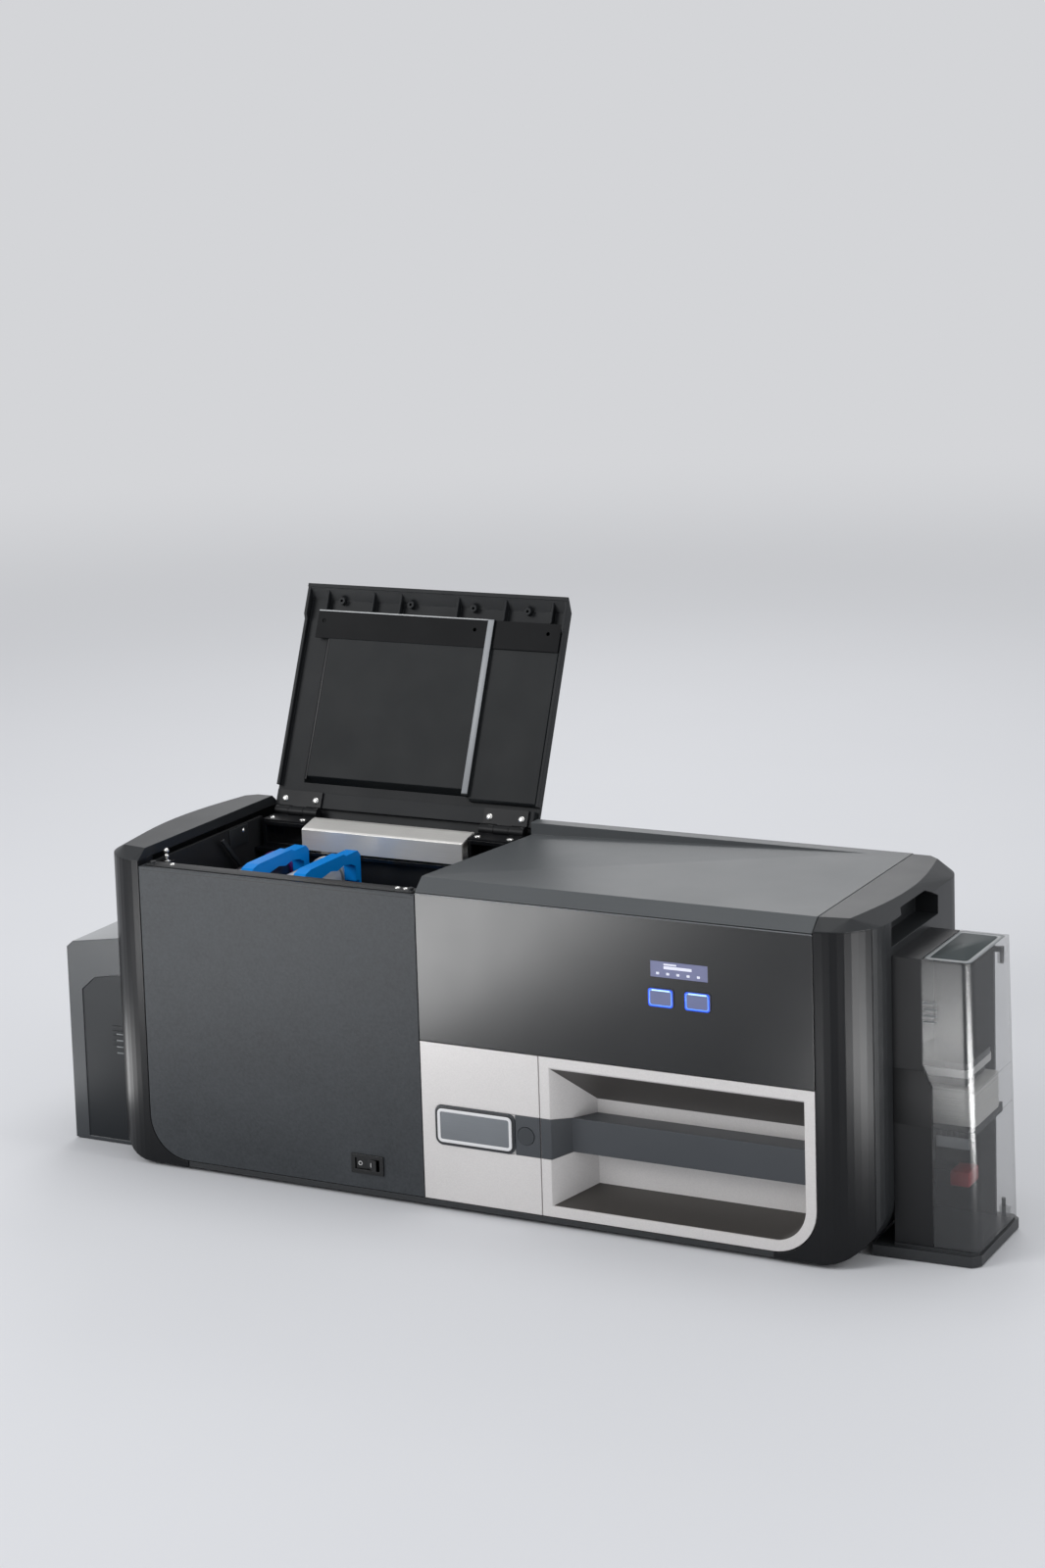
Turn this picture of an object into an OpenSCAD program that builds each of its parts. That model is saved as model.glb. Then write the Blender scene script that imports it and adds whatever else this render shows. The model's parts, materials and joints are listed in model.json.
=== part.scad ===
// In-line ID card printer with a laminating section.
// Left: output hopper and laminator under an open lid. Right: printer under its closed cover,
// display panel, pull-out drawer and card input hopper.
// Local layout frame: x = 0 at the seam between the sections, y = 0 at the front face, z = 0 at the table.

/* [Body] */
// Width of the laminator section, end cap to seam
lam_w = 246; // [236:1:270]
// Width of the printer section, seam to end cap
printer_w = 318; // [306:1:340]
// Depth of the body, front face to rear face
body_d = 210; // [206:1:230]
// Height of the closed covers above the table
body_h = 254; // [250:1:270]
// Thickness of the moulded casing
skin_t = 3; // [2:0.5:4]
// Parting gap between casing pieces
part_gap = 0.8; // [0.5:0.1:1.2]
// Height of the rubber feet
foot_h = 3; // [2:0.5:6]
// Radius of a rubber foot
foot_r = 9; // [6:1:14]

/* [End caps] */
// Width of an end cap
cap_w = 41; // [41:1:50]
// Plan radius of the front corner
cap_front_r = 40; // [30:1:41]
// Plan radius of the rear corner
cap_rear_r = 40; // [30:1:41]
// Radius of the lower outer corner
cap_low_r = 40; // [30:1:41]
// Width of the cap's flat top at its ends
cap_top_w = 24; // [18:1:28]
// Outward bow of the flat top at half depth
cap_top_bow = 11; // [4:1:12]
// Height of the chamfer round the top of a cap
cap_chamfer_h = 8; // [6:1:10]
// Depth of the glossy pillar, front face to its crease
pillar_d = 21; // [16:1:26]

/* [Covers] */
// Height of the cover above the top of the front panels
cover_h = 10; // [8:1:12]
// Depth of the slanted front edge of the covers
cover_chamfer_d = 11; // [8:1:16]
// How far the open laminator lid has turned from closed
lid_open = 113; // [95:1:116]
// How far the printer cover opens
cover_open = 95; // [80:1:100]
// Drop of the scooped cover at its rear left corner
scoop_drop = 10; // [4:1:10]
// Length over which the scoop fades out
scoop_len = 285; // [200:5:300]
// Gap of a hinge pin in its knuckle, on the radius
pin_gap = 0.08; // [0.05:0.01:0.1]

/* [Front] */
// Height of the silver zone, panel foot to gloss panel
silver_h = 122; // [116:1:124]
// Width of the silver side panel
side_panel_w = 99; // [92:1:110]
// Radius of the panels' lower outer corners
panel_corner_r = 34; // [24:1:34]
// Width of the frame round the drawer recess
frame_w = 8; // [6:0.5:10]
// Depth of the drawer recess
recess_d = 35; // [28:1:35]
// Height of the band on the silver panel
band_h = 31; // [26:1:36]
// Height of the grip bar across the recess
bar_h = 26; // [20:1:28]
// Depth of the ledge above the grip bar
ledge_d = 19; // [14:1:22]
// Drawer travel
drawer_travel = 110; // [60:5:120]
// Diameter of the lock plug
lock_d = 13.5; // [11:0.5:16]
// Width of the display window
lcd_w = 45; // [38:1:52]
// Height of the display window
lcd_h = 12; // [10:0.5:16]
// Width of a front button
button_w = 20; // [16:0.5:22]
// Height of a front button
button_h = 14; // [10:0.5:16]
// Button travel
button_travel = 1; // [0.5:0.1:1.2]
// Width of the power rocker's bezel
rocker_w = 28; // [24:0.5:32]
// Height of the power rocker's bezel
rocker_h = 15; // [13:0.5:18]
// Rocker tilt between off and on
rocker_turn = 16; // [12:1:18]

/* [Hoppers] */
// How far the input hopper stands out of the end cap
hopper_w = 59; // [56:1:70]
// How much wider the input hopper's outer side stands at its foot than at its top
hopper_flare = 4; // [0:0.5:6]
// Depth of the input hopper, front to back
hopper_d = 82; // [78:1:90]
// Height of the input hopper's top
hopper_h = 221; // [205:1:224]
// Width of the dark side panel of the input hopper
hopper_side_w = 22; // [18:1:26]
// Step of the dark side panel
hopper_step = 7; // [4:0.5:10]
// Wall of the smoke-tinted hopper door
door_t = 2.2; // [1.6:0.1:3]
// How far the hopper door swings open
door_open = 100; // [80:5:110]
// How far the output hopper stands out of the end cap
out_w = 53; // [48:1:60]
// Height of the output hopper beside the end cap
out_h = 172; // [160:1:180]
// Height of the trays under the hoppers
tray_h = 9.5; // [7:0.5:12]

/* [Cards] */
// Length of a card
card_l = 85.6; // [85:0.1:86]
// Width of a card
card_w = 54; // [53:0.1:55]
// Height of the card stack
stack_h = 26.7; // [10:0.1:40]
// Height of the card path above the table
path_z = 99; // [97:1:104]

/* [Laminator] */
// Distance between the two laminate cartridges
cartridge_pitch = 48; // [47:1:56]
// Radius of a laminate roll
film_r = 17; // [12:0.5:18]
// Radius of a roll shaft
shaft_r = 4; // [3:0.5:5]
// Radius of the heated roller
heat_r = 10; // [8:0.5:12]
// Radius of the pressure roller under the path
press_r = 7; // [5:0.5:7]
// Height of a cartridge's blue handle above the table
handle_z = 234; // [226:1:234]
// Height the cartridges are lifted to come out
cartridge_lift = 130; // [100:5:150]

/* [Printer works] */
// Radius of the platen roller
platen_r = 8; // [6:0.5:8]
// Radius of the full ribbon spool
ribbon_r = 20; // [14:0.5:24]
// Radius of the platen's belt pulley
platen_pulley_r = 8; // [7:0.5:8.5]
// Radius of the motor's belt pulley
motor_pulley_r = 6; // [5:0.5:8]
// Distance of the motor from the platen
motor_dx = 62; // [50:1:80]
// Thickness of the toothed belt
belt_t = 1.6; // [1.2:0.1:2]

/* [Hidden] */
$fn = 48;
eps = 0.01;
arc_n = 12;
seat = 0.3;
far = 600;

// Overall places
x_left = -lam_w;
x_right = printer_w;
x_out_l = x_left - cap_w;
x_out_r = x_right + cap_w;
home_x = (x_out_r + hopper_w + x_out_l - out_w) / 2;
trim_h = 4.2;
z_trim = foot_h;
z_panel = z_trim + trim_h + part_gap;
z_lip = body_h - cover_h;
z_shoulder = body_h - cap_chamfer_h;
z_silver = z_panel + silver_h;
cover_t = 3;

// Laminator lid hinge
lid_axis_y = body_d - 15;
lid_axis_z = body_h - 10.5;
leaf_t = 1.8;
leaf_w = 40;
leaf_l = 18;
knuckle_r = 4.5;
hinge_pin_r = 1.6;
hinge_inset = 27.3;
hinge_x = [x_left + hinge_inset, -hinge_inset];
hinge_screw_dx = 14.5;
lower_leaf_z = lid_axis_z - 2;
upper_leaf_z = lid_axis_z + 1.1;
lid_y0 = 1;
open_back_y = lid_axis_y - (lid_axis_y - lid_y0 - cover_chamfer_d) * cos(lid_open)
    + (body_h - lid_axis_z) * sin(lid_open);
home_y = round(open_back_y / 2 - 1);

// Chassis and bays
deck_z = 80;
deck_t = 2;
pan_t = 2;
bay_t = 3;
bay_y0 = 12;
bay_y1 = body_d - 32;
bay_front_z = z_lip - 8;
works_y0 = 46;
works_y1 = 128;
works_t = 2;
rear_top_z = body_h - 19;
shelf_z = body_h - 38;
path_y = (works_y0 + works_y1) / 2;
slot_w = card_w + 8;

// Front face details
x_frame = side_panel_w + part_gap;
x_frame_end = x_right - part_gap;
badge_w = 67;
badge_x = 11.5;
z_band = z_panel + (silver_h / 2) - 1.8;
lock_x = side_panel_w - 11.5;
lock_y1 = 9.4;
lcd_x = 214.5;
lcd_z = body_h - 47.5;
button_z = lcd_z - 21;
button_dx = 14.35;
rocker_x = -48.8;
rocker_z = z_panel + 19.2;
rocker_axis_y = 5;
trunnion_r = 1.6;
bar_y = recess_d - ledge_d;
recess_top = 31;
recess_foot = 9.4;
recess_side = 22;
recess_end = 4;

// Input hopper
hop_x0 = x_out_r;
hop_x1 = x_out_r + hopper_w;
hop_y0 = 44;
hop_y1 = hop_y0 + hopper_d;
hop_z0 = 1 + tray_h;
hop_step_z = 128;
hop_floor_z = path_z - 2;
door_corner_r = 8;
door_axis_x = hop_x1 - 4.2;
door_axis_y = hop_y1 - 4.2;
door_lean = atan(hopper_flare / (hopper_h - hop_z0));
door_pin_r = 1.5;
door_lug_r = 3.2;
stack_x1 = hop_x1 - door_t - 1.2;
weight_lift = hopper_h - door_t - (hop_floor_z + stack_h) - 24;

// Output hopper
out_x1 = x_out_l;
out_x0 = x_out_l - out_w;
out_y0 = 31;
out_y1 = 131;
out_t = 2.5;

// Laminate cartridges
cart_x = [x_left + 61, x_left + 61 + cartridge_pitch];
cart_y0 = 46;
cart_y1 = 142;
cart_plate_t = 3;
roll_dx = -20;
roll_z = handle_z - 26;
takeup_z = roll_z - 52;
heat_x = -62;

// Printer works
platen_x = 150;
platen_z = path_z - platen_r;
pulley_y0 = 131;
pulley_y1 = 137;
motor_x = platen_x + motor_dx;
motor_z = platen_z + 14;
spool_z = path_z + 52;
spool_dx = 45;

// ---------- helpers ----------
module at_home() { translate([-home_x, -home_y, 0]) children(); }
module box(x0, x1, y0, y1, z0, z1) { translate([x0, y0, z0]) cube([x1 - x0, y1 - y0, z1 - z0]); }
module slab(z0, z1) { translate([0, 0, z0]) linear_extrude(z1 - z0) children(); }
// Outline drawn in x and z, filled from y0 to y1
module front_plate(y0, y1) { translate([0, y1, 0]) rotate([90, 0, 0]) linear_extrude(y1 - y0) children(); }
// Outline drawn in y and z, filled from x0 to x1
module side_plate(x0, x1) { translate([x0, 0, 0]) rotate([90, 0, 90]) linear_extrude(x1 - x0) children(); }
module rod_y(x, z, y0, y1, r) { translate([x, y1, z]) rotate([90, 0, 0]) cylinder(h = y1 - y0, r = r); }
module rod_x(y, z, x0, x1, r) { translate([x0, y, z]) rotate([0, 90, 0]) cylinder(h = x1 - x0, r = r); }
module rod_z(x, y, z0, z1, r) { translate([x, y, z0]) cylinder(h = z1 - z0, r = r); }

function arc(cx, cy, r, a0, a1, n = arc_n) =
    [for (i = [0:n]) [cx + r * cos(a0 + (a1 - a0) * i / n), cy + r * sin(a0 + (a1 - a0) * i / n)]];

// Rectangle with its own radius at each corner: lower left, lower right, upper right, upper left
function soft_rect(x0, x1, y0, y1, r) = concat(
    r[0] > 0 ? arc(x0 + r[0], y0 + r[0], r[0], 180, 270) : [[x0, y0]],
    r[1] > 0 ? arc(x1 - r[1], y0 + r[1], r[1], 270, 360) : [[x1, y0]],
    r[2] > 0 ? arc(x1 - r[2], y1 - r[2], r[2], 0, 90) : [[x1, y1]],
    r[3] > 0 ? arc(x0 + r[3], y1 - r[3], r[3], 90, 180) : [[x0, y1]]);

// ---------- end caps, drawn for the right side with u measured out from the panels ----------
function cap_plan(inset, u0) = concat(
    [[u0, inset]],
    arc(cap_w - cap_front_r, cap_front_r, cap_front_r - inset, 270, 360),
    arc(cap_w - cap_rear_r, body_d - cap_rear_r, cap_rear_r - inset, 0, 90),
    [[u0, body_d - inset]]);

function cap_side(inset, u0, top) = concat(
    [[u0, z_trim + inset]],
    arc(cap_w - cap_low_r, z_trim + cap_low_r, cap_low_r - inset, 270, 360),
    [[cap_w - inset, top], [u0, top]]);

function cap_top() = concat(
    [[0, cover_chamfer_d]],
    [for (i = [0:arc_n]) [cap_top_w - 2 + cap_top_bow * sin(180 * i / arc_n),
                          cover_chamfer_d + 4 + (body_d - 2 * cover_chamfer_d - 10) * i / arc_n]],
    [[cap_top_w - 10, body_d - cover_chamfer_d + 1], [0, body_d - cover_chamfer_d + 1]]);

grab_y0 = 45;
grab_y1 = 141;
grab_z0 = body_h - 27;
grab_deep = 18;

module cap_shell() {
    difference() {
        union() {
            difference() {
                intersection() {
                    slab(z_trim, z_shoulder) polygon(cap_plan(0, 0));
                    front_plate(pillar_d, body_d) polygon(cap_side(0, 0, z_shoulder));
                }
                intersection() {
                    slab(z_trim + skin_t, z_shoulder - eps) polygon(cap_plan(skin_t, -1));
                    front_plate(pillar_d - 1, body_d) polygon(cap_side(skin_t, -1, z_shoulder));
                }
            }
            // rounded and bevelled top
            hull() {
                slab(z_shoulder, z_shoulder + eps) polygon(cap_plan(0, 0));
                slab(body_h - eps, body_h) polygon(cap_top());
            }
            // pocket behind the grab recess
            box(cap_w - grab_deep - skin_t, cap_w - 1, grab_y0 - skin_t, grab_y1 + skin_t,
                grab_z0 - skin_t, z_shoulder + 1);
        }
        // grab recess under the top edge
        side_plate(cap_w - grab_deep, cap_w + 1) polygon([
            [grab_y0, grab_z0], [grab_y1, grab_z0], [grab_y1, body_h - 13], [grab_y1 - 20, body_h - 5],
            [grab_y0 + 26, body_h - 5], [grab_y0 + 18, body_h - 9], [grab_y0, body_h - 9]]);
    }
}

module pillar() {
    r_in = panel_corner_r + part_gap;
    difference() {
        intersection() {
            slab(z_trim, z_shoulder) polygon(cap_plan(0, -panel_corner_r));
            front_plate(0, pillar_d) polygon(cap_side(0, -panel_corner_r, z_shoulder));
        }
        // room for the panels with their rounded lower corner
        front_plate(-1, pillar_d + 1)
            polygon(soft_rect(-panel_corner_r - 5, 0, z_panel - part_gap, body_h, [0, r_in, 0, 0]));
        // hollow behind the moulded front
        slab(z_trim + cap_low_r, z_shoulder - skin_t) polygon([
            [skin_t, skin_t + 1], [skin_t + 8, skin_t + 2], [skin_t + 17, skin_t + 5.5],
            [skin_t + 24, pillar_d - 6], [skin_t + 28, pillar_d + 1], [skin_t, pillar_d + 1]]);
    }
}

module left_side() { translate([x_left, 0, 0]) mirror([1, 0, 0]) children(); }
module right_side() { translate([x_right, 0, 0]) children(); }

module left_end_cap() color("#3a3c3f") at_home() difference() {
    left_side() cap_shell();
    // finished cards leave here
    box(x_out_l - 1, x_left + 1, path_y - slot_w / 2, path_y + slot_w / 2, path_z - 12, path_z + 14);
}

module right_end_cap() color("#3a3c3f") at_home() difference() {
    right_side() cap_shell();
    // blank cards come in here
    box(x_right + 2, x_out_r + 1, path_y - slot_w / 2, path_y + slot_w / 2,
        hop_floor_z - 8, hop_floor_z + stack_h + 20);
}

module left_pillar() color("#2b2c2f") at_home() left_side() pillar();
module right_pillar() color("#4a4c50") at_home() right_side() pillar();

// ---------- base and chassis ----------
module base_pan() color("#2a2a2c") at_home() difference() {
    union() {
        box(x_left + 1, x_right - 1, 22.3, body_d - 10, foot_h, foot_h + pan_t);
        box(x_left + 1, x_right - 1, 22.3, 24, foot_h, foot_h + 7);
        box(x_left + 1, x_right - 1, body_d - 12, body_d - 10, foot_h, foot_h + 12);
    }
    // cooling slots in the floor
    for (i = [0:11])
        box(x_left + 40 + 12 * i, x_left + 45 + 12 * i, 90, 140, 0, foot_h + pan_t + 1);
}

module rubber_feet() color("#18181a") at_home()
    for (x = [x_left + 24, 20, x_right - 24])
        for (y = [38, body_d - 24])
            translate([x, y, 0]) rotate_extrude()
                polygon([[0, 0], [foot_r - 1, 0], [foot_r, 1], [foot_r, foot_h], [0, foot_h]]);

leg_w = 9;
module chassis_deck() color("#9a9c9f") at_home() difference() {
    union() {
        box(x_left + 1, x_right - 1, 42, body_d - 8, deck_z - deck_t, deck_z);
        for (x = [x_left + 3, -leg_w, 100, x_right - 1 - leg_w])
            for (y = [44, body_d - 30])
                box(x, x + leg_w, y, y + leg_w, foot_h + pan_t, deck_z - deck_t);
        // bearing plates of the printer works
        for (y = [works_y0, works_y1 - works_t]) front_plate(y, y + works_t) polygon([
            [56, deck_z - 1], [268, deck_z - 1], [268, path_z + 6], [240, path_z + 80],
            [70, path_z + 80], [56, path_z + 60]]);
    }
    rod_y(platen_x, platen_z, 0, body_d, shaft_r - 1 + pin_gap);
    // notches that the ribbon cartridge drops into
    for (s = [-1, 1])
        box(platen_x + s * spool_dx - shaft_r - 2.4, platen_x + s * spool_dx + shaft_r + 2.4,
            works_y0 - 1, works_y1 + 1, spool_z - shaft_r - 2.4, path_z + 81);
}

// ---------- casing panels ----------
module laminator_front_panel() color("#43464b") at_home() difference() {
    x0 = x_left + part_gap;
    x1 = -part_gap / 2;
    z1 = z_lip - 2;
    union() {
        front_plate(0, skin_t) polygon(soft_rect(x0, x1, z_panel, z1, [panel_corner_r, 0, 0, 0]));
        difference() {
            front_plate(skin_t - 1, 11)
                polygon(soft_rect(x0, x1, z_panel, z1, [panel_corner_r, 0, 0, 0]));
            front_plate(skin_t - 2, 12) polygon(soft_rect(x0 + 2.5, x1 - 2.5, z_panel + 2.5, z1 + 9,
                [panel_corner_r - 2.5, 0, 0, 0]));
        }
    }
    box(rocker_x - rocker_w / 2 + 1.8, rocker_x + rocker_w / 2 - 1.8, -1, 12,
        rocker_z - rocker_h / 2 + 1.5, rocker_z + rocker_h / 2 - 1.5);
}

module gloss_front_panel() color("#15171a") at_home() difference() {
    union() {
        box(part_gap / 2, x_frame_end, 0, skin_t, z_silver + part_gap, z_lip);
        box(part_gap / 2, x_frame_end, skin_t - 1, 11, z_silver + part_gap, z_silver + part_gap + 2.5);
        box(part_gap / 2, x_frame_end, skin_t - 1, 11, z_lip - 2.5, z_lip);
    }
    box(lcd_x - lcd_w / 2, lcd_x + lcd_w / 2, -1, 12, lcd_z - lcd_h / 2, lcd_z + lcd_h / 2);
    for (s = [-1, 1]) front_plate(-1, 12) polygon(soft_rect(
        lcd_x + s * button_dx - button_w / 2, lcd_x + s * button_dx + button_w / 2,
        button_z - button_h / 2, button_z + button_h / 2, [2, 2, 2, 2]));
}

module silver_side_panel() color("#c9c7c8") at_home() difference() {
    union() {
        box(part_gap / 2, side_panel_w, 0, skin_t, z_panel, z_silver);
        box(part_gap / 2, side_panel_w, skin_t - 1, 9, z_panel, z_panel + 2.5);
        box(part_gap / 2, side_panel_w, skin_t - 1, 9, z_silver - 2.5, z_silver);
    }
    // sunk seats of the badge and the band
    box(badge_x + badge_w / 2, side_panel_w + 1, -1, 1, z_band - band_h / 2, z_band + band_h / 2);
    front_plate(-1, 1) polygon(soft_rect(badge_x, badge_x + badge_w,
        z_band - band_h / 2, z_band + band_h / 2, [6, 6, 6, 6]));
    rod_y(lock_x, z_band, -1, 12, lock_d / 2 + seat);
}

module badge_plate() color("#8f9296") at_home() {
    front_plate(-0.8, 1) polygon(soft_rect(badge_x + 0.2, badge_x + badge_w - 0.2,
        z_band - band_h / 2 + 0.2, z_band + band_h / 2 - 0.2, [5.8, 5.8, 5.8, 5.8]));
    difference() {
        box(badge_x + badge_w + 0.2, side_panel_w, 0, 1, z_band - band_h / 2 + 0.2, z_band + band_h / 2 - 0.2);
        rod_y(lock_x, z_band, -1, 2, lock_d / 2 + seat);
    }
}

module front_trim() color("#4b4d50") at_home() difference() {
    box(x_left + panel_corner_r + 0.4, x_right - panel_corner_r - 0.4, 0.6, 22, z_trim, z_trim + trim_h);
    box(x_left, x_right, 3.6, 20, z_trim - 1, z_trim + 1.2);
}

vent_n = 14;
module rear_panel() color("#303236") at_home() difference() {
    union() {
        box(x_left + part_gap, x_right - part_gap, body_d - skin_t, body_d, z_panel, rear_top_z);
        box(x_left + part_gap, x_right - part_gap, body_d - 9, body_d - 1, z_panel, z_panel + 3);
    }
    for (i = [0:vent_n - 1])
        for (x = [x_left + 44, 60])
            box(x + 8 * i, x + 8 * i + 4, body_d - 10, body_d + 1, rear_top_z - 95, rear_top_z - 45);
    box(x_right - 74, x_right - 46, body_d - 10, body_d + 1, 24, 46);
    box(x_right - 112, x_right - 99, body_d - 10, body_d + 1, 26, 38);
    box(x_right - 136, x_right - 120, body_d - 10, body_d + 1, 26, 40);
}

module rear_connectors() color("#1b1c1e") at_home() {
    // mains inlet with three pins
    difference() {
        union() {
            box(x_right - 74 + seat, x_right - 46 - seat, body_d - 28, body_d, 24 + seat, 46 - seat);
            box(x_right - 77, x_right - 43, body_d, body_d + 1.5, 21, 49);
        }
        box(x_right - 72, x_right - 48, body_d - 17, body_d + 2, 26.5, 43.5);
    }
    for (p = [[-67, 33], [-60, 38], [-53, 33]])
        box(x_right + p[0] - 1, x_right + p[0] + 1, body_d - 18, body_d - 2, p[1] - 2, p[1] + 2);
    // data sockets
    difference() {
        box(x_right - 112 + seat, x_right - 99 - seat, body_d - 18, body_d, 26 + seat, 38 - seat);
        box(x_right - 110, x_right - 101, body_d - 10, body_d + 1, 28, 36);
    }
    difference() {
        box(x_right - 136 + seat, x_right - 120 - seat, body_d - 20, body_d, 26 + seat, 40 - seat);
        box(x_right - 134, x_right - 122, body_d - 12, body_d + 1, 28, 37);
    }
}

// ---------- laminator bay ----------
module laminator_bay() color("#141416") at_home() difference() {
    x0 = x_left + 0.4;
    x1 = -part_gap / 2;
    union() {
        difference() {
            box(x0, x1, bay_y0, bay_y1, deck_z, bay_front_z);
            box(x0 + bay_t, x1 - bay_t, bay_y0 + bay_t, bay_y1 - bay_t, deck_z + bay_t, bay_front_z + 1);
        }
        // left cheek rises beside the end cap
        box(x0, x0 + bay_t, bay_y0, bay_y1, bay_front_z - 1, z_shoulder - 4);
        // bearing plates of the heated and the pressure roller
        for (y = [works_y0, works_y1 - works_t])
            box(heat_x - 26, heat_x + 26, y, y + works_t, deck_z + bay_t - 1, path_z + 46);
        // seats that the laminate cartridges stand on
        for (y = [cart_y0, cart_y1 - cart_plate_t])
            box(cart_x[0] - 40, cart_x[1] + 10, y - 1, y + cart_plate_t + 1,
                deck_z + bay_t - 1, takeup_z - 24 - seat);
        // heater cover
        box(heat_x - 30, x1 - 1, bay_y0 + 1, bay_y1 - 1, path_z + 92, path_z + 95);
        box(heat_x - 30, heat_x - 27, bay_y0 + 1, bay_y1 - 1, path_z + 40, path_z + 93);
    }
    // the rear shelf lies on the rear wall
    box(x0 + bay_t, x1 - bay_t, bay_y1 - bay_t - 1, bay_y1 + 1, shelf_z, body_h);
    // card slots through both end walls
    box(x0 - 1, x0 + bay_t + 1, path_y - slot_w / 2, path_y + slot_w / 2, path_z - 4, path_z + 6);
    box(x1 - bay_t - 1, x1 + 1, path_y - slot_w / 2, path_y + slot_w / 2, path_z - 4, path_z + 6);
    rod_y(heat_x, path_z + 0.4 + heat_r, works_y0 - 1, works_y1 + 1, shaft_r + pin_gap);
    rod_y(heat_x, path_z - press_r, works_y0 - 1, works_y1 + 1, shaft_r - 1 + pin_gap);
}

module bay_front_lip() color("#2a2b2d") at_home() {
    x0 = x_left + part_gap + 2.6;
    x1 = -part_gap / 2 - 2.6;
    difference() {
        union() {
            box(x0, x1, skin_t, bay_y0, bay_front_z - 4, bay_front_z + 2);
            box(x0, x1, skin_t, skin_t + 2, bay_front_z, z_lip - 2.4);
        }
        for (x = [x0 + 14, x1 - 22, x1 - 13]) rod_y(x, bay_front_z, 0, 20, 1.2);
    }
    // latch posts at both ends of the lip
    for (x = [x0 + 2, x1 - 8]) {
        box(x, x + 6, skin_t + 2, bay_y0, bay_front_z + 2, z_lip - 1);
        rod_z(x + 3, bay_y0 - 3, z_lip - 1.5, z_lip + 0.9, 2.2);
    }
}

pedestal_y0 = lid_axis_y - 23;
pedestal_y1 = lid_axis_y - 5;
module rear_shelf() color("#1c1d20") at_home() difference() {
    union() {
        box(x_left + 4, -4, bay_y1 - 14, bay_y1 + 1, shelf_z, shelf_z + 3);
        box(x_left + 0.4, -part_gap / 2, bay_y1 + 0.3, body_d - skin_t - 0.4, shelf_z, shelf_z + 3);
        box(x_left + 0.4, -part_gap / 2, bay_y1 + 1, bay_y1 + 4, deck_z, shelf_z + 1);
        for (x = hinge_x)
            box(x - leaf_w / 2, x + leaf_w / 2, pedestal_y0, pedestal_y1, shelf_z + 2, lower_leaf_z - leaf_t);
    }
    // weight-saving pockets in the pedestals
    for (x = hinge_x)
        box(x - leaf_w / 2 + 3, x + leaf_w / 2 - 3, pedestal_y0 - 1, pedestal_y1 - 4,
            shelf_z + 6, lower_leaf_z - leaf_t - 3);
}

rail_y = lid_axis_y - 30;
module rear_rail() color("#c8c9ca") at_home() {
    x0 = hinge_x[0] + leaf_w / 2 + 1.5;
    x1 = hinge_x[1] - leaf_w / 2 - 1.5;
    side_plate(x0, x1) polygon([
        [rail_y, shelf_z + 4.5], [rail_y, lid_axis_z - 6], [rail_y + 2, lid_axis_z - 5],
        [rail_y + 18, lid_axis_z - 1], [rail_y + 22, lid_axis_z - 1], [rail_y + 22, shelf_z + 3],
        [rail_y + 20.5, shelf_z + 3], [rail_y + 20.5, lid_axis_z - 2.6], [rail_y + 17, lid_axis_z - 2.6],
        [rail_y + 2.6, lid_axis_z - 6.6], [rail_y + 1.5, lid_axis_z - 7.4], [rail_y + 1.5, shelf_z + 4.5]]);
}

// A hinge's knuckles share one pin: outer pair on the body, middle one on the lid
module lower_hinge_leaves() color("#222326") at_home() for (x = hinge_x) {
    knuckle = leaf_w / 3;
    difference() {
        union() {
            box(x - leaf_w / 2, x + leaf_w / 2, pedestal_y0, pedestal_y1, lower_leaf_z - leaf_t, lower_leaf_z);
            for (s = [-1, 1]) {
                rod_x(lid_axis_y, lid_axis_z, x + s * knuckle - knuckle / 2 + (s < 0 ? 0 : seat),
                    x + s * knuckle + knuckle / 2 - (s < 0 ? seat : 0), knuckle_r);
                box(x + s * knuckle - knuckle / 2 + (s < 0 ? 0 : seat),
                    x + s * knuckle + knuckle / 2 - (s < 0 ? seat : 0),
                    pedestal_y1 - 1, lid_axis_y - 1, lower_leaf_z - leaf_t, lower_leaf_z);
            }
        }
        // screw holes
        for (s = [-1, 1])
            rod_z(x + s * hinge_screw_dx, pedestal_y0 + 7, lower_leaf_z - 5, lower_leaf_z + 1, 1.4);
    }
    rod_x(lid_axis_y, lid_axis_z, x - knuckle, x + knuckle, hinge_pin_r);
}

// ---------- laminator lid, drawn closed and turned open about its hinge ----------
module opened() {
    translate([0, lid_axis_y, lid_axis_z]) rotate([-lid_open, 0, 0])
        translate([0, -lid_axis_y, -lid_axis_z]) children();
}

lid_y1 = body_d - 3;
lid_x0 = x_left + part_gap;
lid_x1 = -part_gap;
channel_y = 23;
liner_y1 = lid_axis_y - 26;
liner_x0 = x_left + 24;
liner_x1 = -70;
function cover_profile(y0, y1, t, foot, rear) = [
    [y0, foot], [y0, z_lip + 0.5], [y0 + cover_chamfer_d, body_h], [y1 - 8, body_h],
    [y1, body_h - 4], [y1, rear], [y1 - t, rear], [y1 - t, body_h - 4 - t * 0.6],
    [y1 - 8 - t * 0.4, body_h - t], [y0 + cover_chamfer_d + t * 0.4, body_h - t],
    [y0 + t, z_lip + 0.5 - t * 0.2], [y0 + t, foot]];

module screw_dome(r, h) { rotate_extrude() polygon(concat([[0, 0], [r, 0]], [for (i = [0:5])
    [r * cos(90 * i / 5), h * sin(90 * i / 5)]])); }

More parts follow.
